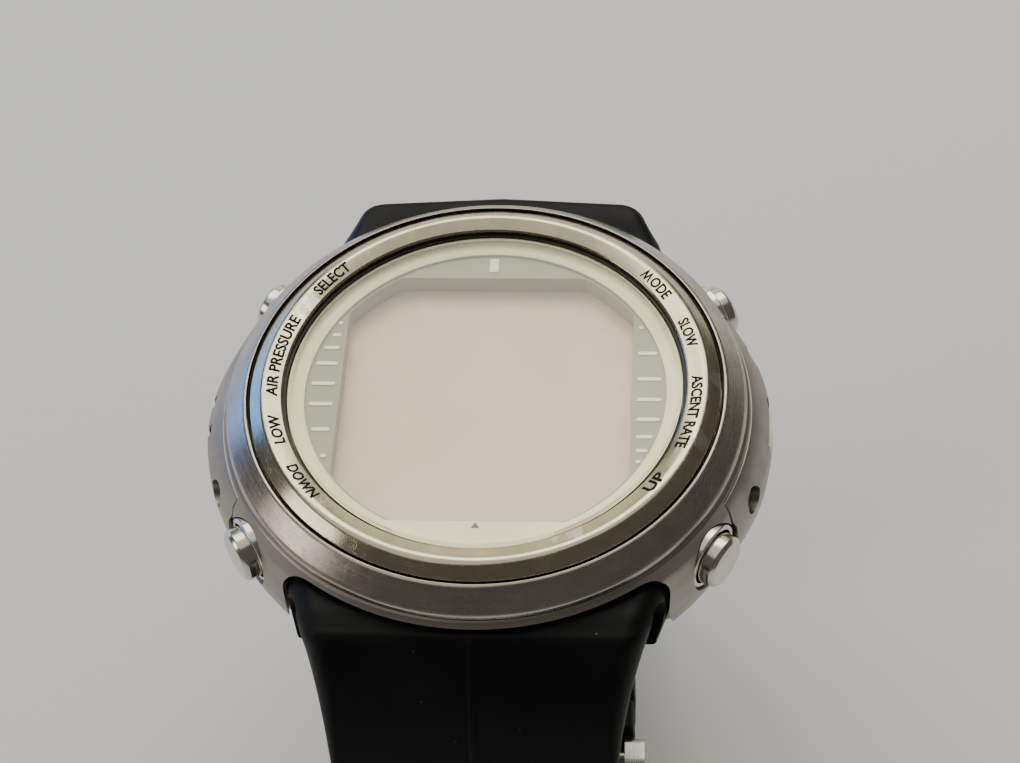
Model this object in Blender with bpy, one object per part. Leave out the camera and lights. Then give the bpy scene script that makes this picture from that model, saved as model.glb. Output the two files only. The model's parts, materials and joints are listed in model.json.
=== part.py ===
"""Wrist dive computer on a buckled rubber strap.

Frame: metres, +Z out of the face, +Y to twelve o'clock, +X to three o'clock.
The origin is the centre of the case back's flat outer face.
Driving sizes are in millimetres below; every mesh is made in millimetres and scaled once.
"""
import math

import bmesh
import bpy
from mathutils import Matrix, Vector

MM = 0.001

# case
LEDGE_RADIUS = 23.05         # foot of the satin case ring
CASE_RADIUS = 24.75          # widest point of the case
BORE_RADIUS = 16.6           # the room for the module
RING_TOP_Z = 14.9
RING_BASE_Z = 12.55
BACK_RADIUS = 18.9
BACK_THICKNESS = 1.4

# glass and dial
CRYSTAL_RADIUS = 17.4
CRYSTAL_TOP_Z = 15.05
CRYSTAL_THICKNESS = 1.45
FLANGE_INNER = 16.0
WINDOW_HALF_X = 12.9
WINDOW_TOP_Y = 13.3
WINDOW_BOTTOM_Y = -13.9
WINDOW_ROUND = 15.7
MASK_TOP_Z = 13.15
MASK_THICKNESS = 1.75

# push buttons
BUTTON_ANGLES = {"mode": 34.0, "select": 146.0, "down": 214.0, "up": 326.0}
BUTTON_Z = 8.5
BUTTON_SEAT_R = 22.9         # distance of the flat seat from the case's middle
BUTTON_FACE = 2.8            # the button's face above its seat
BUTTON_CAP_R = 2.4
SLEEVE_R = 3.05
SLEEVE_TOP = 1.4             # the collar's rim above the button's seat
SLEEVE_GAP = 0.3

# side covers
COVER_HALF_ANGLE = 29.0
COVER_HALF_WIDTH = 11.2
COVER_CORNER = 6.2
COVER_TOP = 14.8             # where the corner arcs would end; the case's ledge cuts them off
COVER_EDGE = (23.47, 11.9)   # the cover's upper edge, just under the ledge
COVER_DEPTH = 1.2
COVER_BULGE = 0.66           # how far its middle stands out of the case's round
COVER_AXIS = 4.88            # the bulged face is turned about an axis this far off the middle
COVER_SCREW_ANGLE = 18.5
COVER_SCREW_Z = 9.0

# strap
PIN_Y = 20.2
PIN_HALF = 14.5
PIN_Z = 8.3
POCKET_RADIUS = 20.4
POCKET_HALF_WIDTH = 17.1
POCKET_TOP_Z = 11.85
POCKET_START = 15.7          # the pocket's side arms begin here along Y
LOOP_HALF = 33.0             # outermost point of the loop along Y
LOOP_BOTTOM = -46.0          # outer face of the inner strap layer at the bottom
FLAT_HALF = 12.0             # half of the loop's flat bottom
SHOULDER_Y = 5.5             # centre of the shoulder arc
SHOULDER_Z = -9.4
SHOULDER_R = 27.5
FAR_SWELL = 1.3              # the short strap bows out this much more where it leaves the case
FAR_NARROW = 0.9             # and is this much narrower there at each side
STRAP_THICK = 2.6
LAYER_STEP = 2.9             # from one strap layer to the next
STRAP_HALF = 10.8
STRAP_FLARE = 3.9            # extra half width where the strap leaves the case
STRAP_TAPER = 5.8            # how fast that extra width runs out along the loop
HINGE_Y = -3.0               # buckle bar
HINGE_Z = LOOP_BOTTOM + STRAP_THICK / 2
SLOT_LENGTH = 6.4
SLOT_PITCH = 9.0
SLOT_Y = -8.0                # middle of the slot that the tongue goes through
SLOT_WIDTH = 3.0
SLOT_PULL = 1.8              # the tongue pulls that slot longer towards the bar
RAMP_START = -13.0           # the outer layer leaves the inner one here along Y
RAMP_LENGTH = 9.0
RAMP_STEPS = 8
TAIL_STATIONS = (0.0, 6.0, 12.0)
TAIL_TIP = (0.0, 1.2, 4.0)   # how much the last three stations of the tail draw in

BACK_SCREW_R = 17.75
BACK_SCREW_ANGLE = 41.0

ROUND = 48                   # sides of a large turned piece
MEDIUM = 20                  # sides of a button
SMALL = 12                   # sides of a screw or a pin


def clear_scene():
    for thing in list(bpy.data.objects):
        bpy.data.objects.remove(thing, do_unlink=True)


MATERIALS = {
    "polished_steel": ((0.72, 0.70, 0.63), 0.18, 1.0),
    "satin_steel": ((0.42, 0.39, 0.34), 0.38, 1.0),
    "button_steel": ((0.62, 0.60, 0.56), 0.22, 1.0),
    "spring_steel": ((0.55, 0.55, 0.55), 0.3, 1.0),
    "glass": ((0.9, 0.95, 0.93), 0.03, 0.0),
    "cream_ring": ((0.78, 0.77, 0.64), 0.4, 0.0),
    "dial_grey": ((0.5, 0.5, 0.44), 0.55, 0.0),
    "display": ((0.62, 0.56, 0.5), 0.25, 0.0),
    "white_plastic": ((0.85, 0.85, 0.82), 0.5, 0.0),
    "black_rubber": ((0.012, 0.012, 0.013), 0.6, 0.0),
    "gasket_rubber": ((0.02, 0.02, 0.02), 0.7, 0.0),
    "circuit_green": ((0.05, 0.2, 0.1), 0.5, 0.0),
    "brass": ((0.75, 0.58, 0.28), 0.3, 1.0),
    "ferrite": ((0.08, 0.07, 0.07), 0.6, 0.0),
}


def material(name):
    mat = bpy.data.materials.get(name)
    if mat:
        return mat
    colour, rough, metal = MATERIALS[name]
    mat = bpy.data.materials.new(name)
    mat.use_nodes = True
    shader = mat.node_tree.nodes["Principled BSDF"]
    shader.inputs["Base Color"].default_value = (*colour, 1.0)
    shader.inputs["Roughness"].default_value = rough
    shader.inputs["Metallic"].default_value = metal
    if name == "glass":
        shader.inputs["Transmission Weight"].default_value = 1.0
    return mat


def finish(bm, name, mat, place=None, cutter=False):
    """Turn a bmesh in millimetres into an object, in metres, at a place."""
    bmesh.ops.remove_doubles(bm, verts=bm.verts, dist=1e-5)
    bmesh.ops.recalc_face_normals(bm, faces=bm.faces)
    bmesh.ops.scale(bm, vec=(MM, MM, MM), verts=bm.verts)
    mesh = bpy.data.meshes.new(name)
    bm.to_mesh(mesh)
    bm.free()
    mesh.shade_smooth()
    mesh.set_sharp_from_angle(angle=math.radians(30))
    obj = bpy.data.objects.new(name, mesh)
    bpy.context.scene.collection.objects.link(obj)
    if place is not None:
        obj.matrix_world = place
    if cutter:
        obj.hide_render = True
        obj.display_type = "WIRE"
    else:
        obj.data.materials.append(material(mat))
    return obj


def cut(obj, tool, operation="DIFFERENCE"):
    mod = obj.modifiers.new(tool.name, "BOOLEAN")
    mod.operation = operation
    mod.object = tool
    mod.solver = "EXACT"


def turned(points, sides, start=0.0, angle=360.0):
    """Spin a closed (radius, height) outline about Z; a part turn gets flat ends."""
    bm = bmesh.new()
    verts = []
    for r, z in points:
        verts.append(bm.verts.new((r, 0, z)))
    face = bm.faces.new(verts)
    bmesh.ops.rotate(bm, verts=bm.verts, cent=(0, 0, 0),
                     matrix=Matrix.Rotation(math.radians(start), 3, "Z"))
    if angle < 360.0:
        bmesh.ops.spin(bm, geom=[face], axis=(0, 0, 1), cent=(0, 0, 0), steps=sides,
                       angle=math.radians(angle), use_merge=False)
        return bm
    edges = list(face.edges)
    bmesh.ops.delete(bm, geom=[face], context="FACES_ONLY")
    on_axis = [e for e in edges if all(abs(v.co.x) < 1e-9 and abs(v.co.y) < 1e-9 for v in e.verts)]
    edges = [e for e in edges if e not in on_axis]
    bmesh.ops.delete(bm, geom=on_axis, context="EDGES")
    bmesh.ops.spin(bm, geom=edges + list(bm.verts), axis=(0, 0, 1), cent=(0, 0, 0), steps=sides,
                   angle=math.tau, use_merge=True)
    return bm


def ring(r_in, r_out, z0, z1):
    return [(r_in, z0), (r_out, z0), (r_out, z1), (r_in, z1)]


def disc(r, z0, z1, chamfer=0.0):
    if chamfer:
        return [(0, z0), (r, z0), (r, z1 - chamfer), (r - chamfer, z1), (0, z1)]
    return [(0, z0), (r, z0), (r, z1), (0, z1)]


def box(size, middle):
    bm = bmesh.new()
    bmesh.ops.create_cube(bm, size=1.0)
    bmesh.ops.scale(bm, vec=size, verts=bm.verts)
    bmesh.ops.translate(bm, vec=middle, verts=bm.verts)
    return bm


def prism(outline, z0, z1):
    bm = bmesh.new()
    face = bm.faces.new([bm.verts.new((x, y, z0)) for x, y in outline])
    made = bmesh.ops.extrude_face_region(bm, geom=[face])
    top = [g for g in made["geom"] if isinstance(g, bmesh.types.BMVert)]
    bmesh.ops.translate(bm, vec=(0, 0, z1 - z0), verts=top)
    return bm


def radial(angle, z):
    """Local +Z points out of the case at this angle from three o'clock, from the case's axis."""
    turn = Matrix.Rotation(math.radians(angle), 4, "Z") @ Matrix.Rotation(math.radians(90), 4, "Y")
    return Matrix.Translation((0, 0, z * MM)) @ turn


def back_screw_place(k):
    a = math.radians(BACK_SCREW_ANGLE + 90 * k)
    return Matrix.Translation((BACK_SCREW_R * MM * math.cos(a), BACK_SCREW_R * MM * math.sin(a), 0))


def window_outline(half_x, top, bottom, radius, corner_steps=5):
    """A rectangle whose corners are cut by a circle, counter-clockwise."""
    points = []
    for sx, edge in ((1, bottom), (1, top), (-1, top), (-1, bottom)):
        on_edge = math.atan2(edge, sx * math.sqrt(radius ** 2 - edge ** 2))
        on_side = math.atan2(math.copysign(math.sqrt(radius ** 2 - half_x ** 2), edge), sx * half_x)
        first, last = (on_edge, on_side) if sx * edge < 0 else (on_side, on_edge)
        if last < first:
            last += math.tau
        for i in range(corner_steps + 1):
            a = first + (last - first) * i / corner_steps
            points.append((radius * math.cos(a), radius * math.sin(a)))
    return points


# ---------------------------------------------------------------- case

def case_outline():
    return [(23.0, 12.4), (23.25, 12.25), (24.05, 11.0), (24.6, 9.3), (CASE_RADIUS, 7.6), (24.6, 5.8),
            (24.0, 3.8), (22.9, 2.2), (21.6, 1.0), (20.6, 0.5)]


def make_case():
    inner = [(BACK_RADIUS + 0.2, 0.5), (BACK_RADIUS + 0.2, BACK_THICKNESS + 0.3),
             (BORE_RADIUS, BACK_THICKNESS + 0.3), (BORE_RADIUS, 13.3), (18.2, 13.3), (18.2, 12.4)]
    case = finish(turned(case_outline() + inner, ROUND), "case_body", "satin_steel")
    for sy in (1, -1):
        pocket = turned(ring(POCKET_RADIUS, 40, -4, POCKET_TOP_Z + 5), ROUND)
        pocket = finish(pocket, f"pocket_ring_{sy}", None, cutter=True)
        slot = finish(strap_slot(sy), f"pocket_{sy}", None, cutter=True)
        cut(slot, pocket, "INTERSECT")
        cut(case, slot)
        for sx in (1, -1):
            lug = box((3.9, 4.1, 3.1), (sx * 7.52, sy * (PIN_Y - 0.6), PIN_Z))
            lug = finish(lug, f"lug_{sx}_{sy}", None, cutter=True)
            cut(case, lug, "UNION")
        bore = turned(disc(1.05, -12, 12), SMALL)
        place = Matrix.Translation((0, sy * PIN_Y * MM, PIN_Z * MM)) @ Matrix.Rotation(math.radians(90), 4, "Y")
        cut(case, finish(bore, f"pin_bore_{sy}", None, place, cutter=True))
    for name, angle in BUTTON_ANGLES.items():
        well = [(0, -8), (1.2, -8), (1.2, -4.9), (1.9, -4.9), (1.9, -4.35), (SLEEVE_R + 0.1, -4.35),
                (SLEEVE_R + 0.1, 6), (0, 6)]
        place = radial(angle, BUTTON_Z) @ Matrix.Translation((0, 0, BUTTON_SEAT_R * MM))
        cut(case, finish(turned(well, MEDIUM), f"well_{name}", None, place, cutter=True))
    for side, middle in (("right", 0.0), ("left", 180.0)):
        seat = cover_section(COVER_DEPTH + 0.35, 3.0, 0.15)
        half = COVER_HALF_ANGLE + 0.4
        tool = turned(seat, 16, middle - half, 2 * half)
        tool = finish(tool, f"cover_seat_{side}", None, cutter=True)
        cut(tool, cover_shape(0.15, middle, f"cover_seat_shape_{side}"), "INTERSECT")
        cut(case, tool)
        for k, turn in enumerate((-COVER_SCREW_ANGLE, COVER_SCREW_ANGLE)):
            hole = finish(turned(disc(0.55, 20.5, 30), SMALL), f"tap_{side}_{k}", None,
                          radial(middle + turn, COVER_SCREW_Z), cutter=True)
            cut(case, hole)
    port = finish(turned(disc(1.95, 10, 30), SMALL), "sensor_port", None, radial(0, 6.6), cutter=True)
    cut(case, port)
    for k in range(4):
        hole = finish(turned(disc(0.6, -2, 5), SMALL), f"back_tap_{k}", None, back_screw_place(k), cutter=True)
        cut(case, hole)


def strap_slot(sy):
    """The strap's pocket in the case, seen from outside: its top corners are round."""
    r = 2.6
    w = POCKET_HALF_WIDTH
    top = POCKET_TOP_Z
    section = [(-w, -3.0), (w, -3.0)]
    for i in range(5):
        a = math.radians(90 * i / 4)
        section.append((w - r + r * math.cos(a), top - r + r * math.sin(a)))
    for i in range(5):
        a = math.radians(90 + 90 * i / 4)
        section.append((-w + r + r * math.cos(a), top - r + r * math.sin(a)))
    bm = bmesh.new()
    narrow = 0.8
    near = [bm.verts.new((x, sy * POCKET_START, z)) for x, z in section]
    far = [bm.verts.new((x * narrow, sy * 30.0, z)) for x, z in section]
    bm.faces.new(near)
    bm.faces.new(far)
    for i in range(len(section)):
        j = (i + 1) % len(section)
        bm.faces.new((near[i], near[j], far[j], far[i]))
    return bm


def cover_section(depth, extra, grow):
    """The cover's section: the case's outer curve and the same curve set in."""
    outer = [COVER_EDGE] + [p for p in case_outline() if 2.0 < p[1] < 11.5]
    top, low = (outer[0][0], outer[0][1] + grow), (outer[-1][0], outer[-1][1] - grow)
    curve = [top] + outer[1:-1] + [low]
    back = [(r - depth, z) for r, z in curve]
    front = [(r + extra, z) for r, z in curve]
    return front + back[::-1]


def cover_shape(grow, middle, name):
    """A block with two round upper corners, pointing out of the case's side."""
    half = COVER_HALF_WIDTH + grow
    top = COVER_TOP + grow
    outline = [(1.0, half), (1.0, -half)]
    for sign in (-1, 1):
        for i in range(7):
            a = math.radians(90 * i / 6)
            up = math.sin(a) if sign < 0 else math.cos(a)
            out = math.cos(a) if sign < 0 else math.sin(a)
            outline.append((-(top - COVER_CORNER + COVER_CORNER * up),
                            sign * (half - COVER_CORNER + COVER_CORNER * out)))
    return finish(prism(outline, 18.0, 30.0), name, None, radial(middle, 0), cutter=True)


def make_covers():
    for side, middle in (("right", 0.0), ("left", 180.0)):
        inset = COVER_AXIS - COVER_BULGE
        face = [(r - inset, z) for r, z in cover_section(3.0, 0.0, -0.15)]
        way = 1 if side == "right" else -1
        plate = finish(turned(face, 16, middle - 40, 80), f"side_cover_{side}", "satin_steel",
                       Matrix.Translation((way * COVER_AXIS * MM, 0, 0)))
        room = turned(cover_section(COVER_DEPTH, 3.0, 0.0), 12, middle - COVER_HALF_ANGLE, 2 * COVER_HALF_ANGLE)
        cut(plate, finish(room, f"cover_room_{side}", None, cutter=True), "INTERSECT")
        cut(plate, cover_shape(0.0, middle, f"cover_shape_{side}"), "INTERSECT")
        for name, angle in BUTTON_ANGLES.items():
            if way * math.cos(math.radians(angle)) > 0:
                notch = finish(turned(disc(SLEEVE_R + SLEEVE_GAP, -5, 6), MEDIUM), f"notch_{name}", None,
                               radial(angle, BUTTON_Z) @ Matrix.Translation((0, 0, BUTTON_SEAT_R * MM)), cutter=True)
                cut(plate, notch)
        for k, turn in enumerate((-COVER_SCREW_ANGLE, COVER_SCREW_ANGLE)):
            place = radial(middle + turn, COVER_SCREW_Z)
            hole = [(0, 20), (0.6, 20), (0.6, 23.9), (1.25, 23.9), (1.25, 30), (0, 30)]
            cut(plate, finish(turned(hole, SMALL), f"cover_hole_{side}_{k}", None, place, cutter=True))
            screw = [(0, 21.2), (0.45, 21.2), (0.45, 24.0), (0.88, 24.0), (0.88, 24.42), (0, 24.42)]
            finish(turned(screw, 12), f"cover_screw_{side}_{k + 1}", "button_steel", place)
        if side == "right":
            slit = finish(box((6, 5.4, 1.2), (25, 0.3, 9.0)), "port_slit", None, cutter=True)
            cut(plate, slit)
        else:
            for k, y in enumerate((-1.3, 1.9)):
                vent = finish(box((6, 1.2, 1.3), (-25, y, 9.3)), f"vent_{k}", None, cutter=True)
                cut(plate, vent)


def make_rings():
    top_ring = [(18.35, RING_BASE_Z), (LEDGE_RADIUS, RING_BASE_Z), (LEDGE_RADIUS, 13.05),
                (22.9, 13.3), (21.3, RING_TOP_Z - 0.05), (21.1, RING_TOP_Z), (21.1, 14.05), (18.35, 14.05)]
    finish(turned(top_ring, ROUND), "case_top_ring", "satin_steel")
    bezel = [(18.4, 14.2), (20.65, 14.2), (20.65, 14.85), (19.85, 15.62), (19.6, 15.88), (19.4, 15.92),
             (17.85, 15.42), (17.75, 15.3), (17.75, 15.0), (18.4, 15.0)]
    finish(turned(bezel, ROUND), "bezel", "polished_steel")
    finish(turned(ring(20.75, 21.0, 14.2, 14.75), ROUND), "bezel_gasket", "gasket_rubber")
    low = CRYSTAL_TOP_Z - CRYSTAL_THICKNESS
    finish(turned(disc(CRYSTAL_RADIUS, low, CRYSTAL_TOP_Z, 0.35), ROUND), "crystal", "glass")
    seal = [(16.8, 13.4), (18.25, 13.4), (18.25, 14.85), (17.5, 14.85), (17.5, 13.52), (16.8, 13.52)]
    finish(turned(seal, ROUND), "crystal_gasket", "gasket_rubber")
    flange = [(FLANGE_INNER, 13.28), (16.45, 13.28), (16.45, 13.5), (FLANGE_INNER, 13.42)]
    finish(turned(flange, ROUND), "dial_flange", "cream_ring")
    finish(turned(disc(BACK_RADIUS, 0, BACK_THICKNESS), ROUND), "case_back", "satin_steel")
    groove = turned(ring(16.75, 17.0, BACK_THICKNESS + 0.02, BACK_THICKNESS + 0.27), ROUND)
    finish(groove, "case_back_o_ring", "gasket_rubber")
    for k in range(4):
        place = back_screw_place(k)
        hole = [(0, -1), (1.05, -1), (1.05, 0.65), (0.6, 0.65), (0.6, 3), (0, 3)]
        cut(bpy.data.objects["case_back"],
            finish(turned(hole, SMALL), f"back_hole_{k}", None, place, cutter=True))
        screw = [(0, 0.05), (0.93, 0.05), (0.93, 0.55), (0.48, 0.55), (0.48, 3.6), (0, 3.6)]
        finish(turned(screw, 12), f"back_screw_{k + 1}", "button_steel", place)


# ---------------------------------------------------------------- module

def make_module():
    low = MASK_TOP_Z - MASK_THICKNESS
    mask = finish(turned(disc(16.4, low, MASK_TOP_Z), ROUND), "dial_mask", "dial_grey")
    outline = window_outline(WINDOW_HALF_X, WINDOW_TOP_Y, WINDOW_BOTTOM_Y, WINDOW_ROUND)
    cut(mask, finish(prism(outline, low - 1, MASK_TOP_Z + 1), "window", None, cutter=True))
    glass = window_outline(13.4, 13.8, -14.2, 16.2)
    finish(prism(glass, 10.1, low - 0.12), "lcd_module", "display")
    finish(box((20.4, 18.6, 0.7), (0, 0, 9.55)), "backlight", "white_plastic")
    finish(box((16, 1.6, 2.95), (0, -10.9, 8.5)), "elastomer_connector", "gasket_rubber")
    rod = Matrix.Translation((-5 * MM, 0, 8.1 * MM)) @ Matrix.Rotation(math.radians(90), 4, "X")
    finish(turned(disc(0.9, -6, 6), SMALL), "antenna_rod", "ferrite", rod)
    finish(turned(disc(16.2, 6.1, 6.9), ROUND), "circuit_board", "circuit_green")
    finish(turned(ring(11.2, 16.3, 2.0, 5.95), ROUND), "module_frame", "white_plastic")
    finish(turned(disc(10.0, 2.3, 5.5, 0.3), ROUND), "battery", "spring_steel")
    finish(box((9, 3, 0.25), (0, 0, 5.8)), "battery_contact", "brass")
    finish(turned(disc(7.0, 1.55, 1.95), 32), "piezo_buzzer", "brass")
    sensor = [(0, 17.2), (1.2, 17.2), (1.2, 20.0), (1.8, 20.0), (1.8, 22.4), (0, 22.4)]
    finish(turned(sensor, SMALL), "pressure_sensor", "button_steel", radial(0, 6.6))
    seal = turned(ring(1.3, 1.8, 19.2, 19.8), SMALL)
    finish(seal, "pressure_sensor_o_ring", "gasket_rubber", radial(0, 6.6))


# ---------------------------------------------------------------- buttons

def coil(radius, wire, height, turns, per_turn=10, sides=5):
    """A closed wire wound as a helix, standing on z = 0."""
    bm = bmesh.new()
    steps = int(turns * per_turn)
    loops = []
    for i in range(steps + 1):
        a = math.tau * i / per_turn
        rise = wire + (height - 2 * wire) * i / steps
        loop = []
        for k in range(sides):
            b = math.tau * k / sides
            r = radius + wire * math.cos(b)
            loop.append(bm.verts.new((r * math.cos(a), r * math.sin(a), rise + wire * math.sin(b))))
        loops.append(loop)
    for low, high in zip(loops, loops[1:]):
        for k in range(sides):
            bm.faces.new((low[k], low[(k + 1) % sides], high[(k + 1) % sides], high[k]))
    bm.faces.new(loops[0])
    bm.faces.new(loops[-1])
    return bm


def make_buttons():
    for name, angle in BUTTON_ANGLES.items():
        place = radial(angle, BUTTON_Z) @ Matrix.Translation((0, 0, BUTTON_SEAT_R * MM))
        cap = [(0, -7.2), (0.6, -7.2), (0.6, -6.95), (0.45, -6.95), (0.45, -6.55), (0.75, -6.55), (0.75, -0.4),
               (BUTTON_CAP_R, -0.4), (BUTTON_CAP_R, BUTTON_FACE - 0.25), (BUTTON_CAP_R - 0.2, BUTTON_FACE),
               (0, BUTTON_FACE)]
        finish(turned(cap, MEDIUM), f"button_{name}", "button_steel", place)
        sleeve = [(0.9, -4.25), (SLEEVE_R, -4.25), (SLEEVE_R, SLEEVE_TOP - 0.15), (SLEEVE_R - 0.12, SLEEVE_TOP),
                  (2.6, SLEEVE_TOP), (2.6, -3.75), (0.9, -3.75)]
        finish(turned(sleeve, MEDIUM), f"button_sleeve_{name}", "polished_steel", place)
        spring = place @ Matrix.Translation((0, 0, -3.7 * MM))
        finish(coil(1.5, 0.16, 2.2, 3.5), f"button_spring_{name}", "spring_steel", spring)
        seal = place @ Matrix.Translation((0, 0, -4.62 * MM))
        finish(turned([(1.25 + 0.22 * math.cos(math.tau * k / 6), 0.22 * math.sin(math.tau * k / 6))
                       for k in range(6)], SMALL), f"button_o_ring_{name}", "gasket_rubber", seal)
        clip = turned(ring(0.52, 1.3, -6.9, -6.6), SMALL, 35, 290)
        finish(clip, f"button_clip_{name}", "spring_steel", place)


# ---------------------------------------------------------------- strap and buckle

def loop_stations(side, shift, start=0.0, end=1.0, steps=40):
    """Points on the loop's outer face with their outward normals, from the case to the bottom."""
    stations = []
    first = math.radians(42)
    arc = SHOULDER_R * (math.pi / 2 - first)
    drop = SHOULDER_Z - LOOP_BOTTOM
    wide = LOOP_HALF - FLAT_HALF
    quarter = math.pi / 2 * math.sqrt((wide ** 2 + drop ** 2) / 2)
    total = arc + quarter
    for i in range(steps + 1):
        run = (start + (end - start) * i / steps) * total
        if run < arc:
            a = first + run / SHOULDER_R
            y, z = SHOULDER_Y + SHOULDER_R * math.sin(a), SHOULDER_Z + SHOULDER_R * math.cos(a)
            ny, nz = math.sin(a), math.cos(a)
            swell = FAR_SWELL * math.cos((a - first) / (math.pi / 2 - first) * math.pi / 2) ** 2 if side > 0 else 0.0
            y, z = y + swell * ny, z + swell * nz
        else:
            a = (run - arc) / quarter * math.pi / 2
            y, z = FLAT_HALF + wide * math.cos(a), SHOULDER_Z - drop * math.sin(a)
            ny, nz = drop * math.cos(a), -wide * math.sin(a)
            size = math.hypot(ny, nz)
            ny, nz = ny / size, nz / size
        stations.append((side * (y + shift * ny), z + shift * nz, side * ny, nz))
    return stations


def ease(t):
    t = min(max(t, 0.0), 1.0)
    return t * t * (3 - 2 * t)


def sweep_strap(stations, half_width, thickness, corner):
    """Loft a rounded rectangle along stations (y, z, normal y, normal z) of the outer face."""
    bm = bmesh.new()
    loops = []
    for i, (y, z, ny, nz) in enumerate(stations):
        w, t, c = half_width[i], thickness[i], corner[i]
        section = [(-w + c, 0), (w - c, 0), (w - 0.3 * c, 0.3 * c), (w, c), (w, t - 0.4), (w - 0.4, t),
                   (-w + 0.4, t), (-w, t - 0.4), (-w, c), (-w + 0.3 * c, 0.3 * c)]
        loops.append([bm.verts.new((x, y - d * ny, z - d * nz)) for x, d in section])
    for low, high in zip(loops, loops[1:]):
        n = len(low)
        for k in range(n):
            bm.faces.new((low[k], low[(k + 1) % n], high[(k + 1) % n], high[k]))
    bm.faces.new(loops[0])
    bm.faces.new(loops[-1])
    return bm


def strap_run(side, bottom):
    """Stations, widths, thicknesses and corner radii from inside the pocket to the bottom run."""
    top = POCKET_TOP_Z - 0.2
    stations = [(side * y, top, 0.0, 1.0) for y in (POCKET_START + 0.3, 18.2, 20.5)]
    stations.append((side * 22.4, top - 0.03, side * 0.2, 0.98))
    widths = [POCKET_HALF_WIDTH - drop for drop in (0.35, 0.9, 1.65, 2.15)]
    thick = [6.0, 6.0, 6.0, 6.0]
    corner = [2.2, 2.2, 1.8, 1.2]
    main = loop_stations(side, 0.0, 0.0, 1.0, 22)
    count = len(main)
    for i, station in enumerate(main):
        t = i / (count - 1)
        stations.append(station)
        flare = STRAP_FLARE - (FAR_NARROW if side > 0 else 0.0)
        widths.append(STRAP_HALF + flare * math.exp(-STRAP_TAPER * t))
        thick.append(STRAP_THICK + (5.2 - STRAP_THICK) * (1 - ease(t / 0.3)))
        corner.append(0.6 + 0.4 * (1 - ease(t / 0.2)))
    for y, shift in bottom:
        stations.append((y, LOOP_BOTTOM - shift, 0.0, -1.0))
        widths.append(STRAP_HALF)
        thick.append(STRAP_THICK)
        corner.append(0.6)
    return stations, widths, thick, corner


def notch_for_lugs(strap, side):
    core = finish(turned(disc(POCKET_RADIUS + 0.2, -5, 20), ROUND), f"core_{side}", None, cutter=True)
    cut(strap, core)
    for sx in (1, -1):
        room = finish(box((4.4, 6.0, 12.0), (sx * 7.5, side * (PIN_Y - 1.25), PIN_Z - 4.25)),
                      f"lug_room_{sx}_{side}", None, cutter=True)
        cut(strap, room)
    seat = PIN_HALF - 0.65
    bore = [(0, -20), (1.7, -20), (1.7, -seat), (1.05, -seat), (1.05, seat), (1.7, seat), (1.7, 20), (0, 20)]
    place = Matrix.Translation((0, side * PIN_Y * MM, PIN_Z * MM)) @ Matrix.Rotation(math.radians(90), 4, "Y")
    cut(strap, finish(turned(bore, SMALL), f"pin_way_{side}", None, place, cutter=True))
    head = PIN_HALF - 0.5
    pin = [(0, -PIN_HALF), (1.45, -PIN_HALF), (1.45, -head), (0.9, -head), (0.9, head), (1.45, head),
           (1.45, PIN_HALF), (0, PIN_HALF)]
    clock = {1: "12", -1: "6"}[side]
    finish(turned(pin, SMALL), f"strap_pin_{clock}", "button_steel", place)


def make_straps():
    ramp = []
    for i in range(RAMP_STEPS + 1):
        t = i / RAMP_STEPS
        ramp.append((RAMP_START + RAMP_LENGTH * t, LAYER_STEP * ease(t)))
    tail = [(y, LAYER_STEP) for y in TAIL_STATIONS]
    stations, widths, thick, corner = strap_run(-1, [])
    while stations[-1][0] > ramp[0][0] - 0.6:
        for run in (stations, widths, thick, corner):
            run.pop()
    for y, shift in ramp + tail:
        stations.append((y, LOOP_BOTTOM - shift, 0.0, -1.0))
        widths.append(STRAP_HALF)
        thick.append(STRAP_THICK)
        corner.append(0.6)
    rise = loop_stations(1, LAYER_STEP, 0.66, 0.97, 9)[::-1]
    tip_start = len(rise) - len(TAIL_TIP)
    for i, station in enumerate(rise):
        stations.append(station)
        widths.append(STRAP_HALF - (TAIL_TIP[i - tip_start] if i > tip_start else 0.0))
        thick.append(STRAP_THICK)
        corner.append(0.6)
    strap = finish(sweep_strap(stations, widths, thick, corner), "strap_long", "black_rubber")
    notch_for_lugs(strap, -1)
    used = finish(box((SLOT_WIDTH, SLOT_LENGTH + SLOT_PULL, 14), (0, SLOT_Y + SLOT_PULL / 2, LOOP_BOTTOM)),
                  "slot_used", None, cutter=True)
    cut(strap, used)
    tail_z = LOOP_BOTTOM - LAYER_STEP + STRAP_THICK / 2
    for k in (1, 2):
        hole = box((SLOT_WIDTH, SLOT_LENGTH, 4.0), (0, SLOT_Y + SLOT_PITCH * k, tail_z))
        cut(strap, finish(hole, f"slot_tail_{k}", None, cutter=True))
    stations, widths, thick, corner = strap_run(1, [(4.0, 0.0), (HINGE_Y + 1.2, 0.0), (HINGE_Y - 0.9, 0.0)])
    short = finish(sweep_strap(stations, widths, thick, corner), "strap_short", "black_rubber")
    notch_for_lugs(short, 1)
    cut(short, finish(box((3.6, 5.4, 8), (0, HINGE_Y, LOOP_BOTTOM)), "tongue_room", None, cutter=True))
    across = Matrix.Translation((0, HINGE_Y * MM, HINGE_Z * MM)) @ Matrix.Rotation(math.radians(90), 4, "Y")
    cut(short, finish(turned(disc(0.9, -20, 20), SMALL), "bar_way", None, across, cutter=True))
    finish(turned(disc(0.7, -13.2, 13.2), SMALL), "buckle_bar", "button_steel", across)


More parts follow.
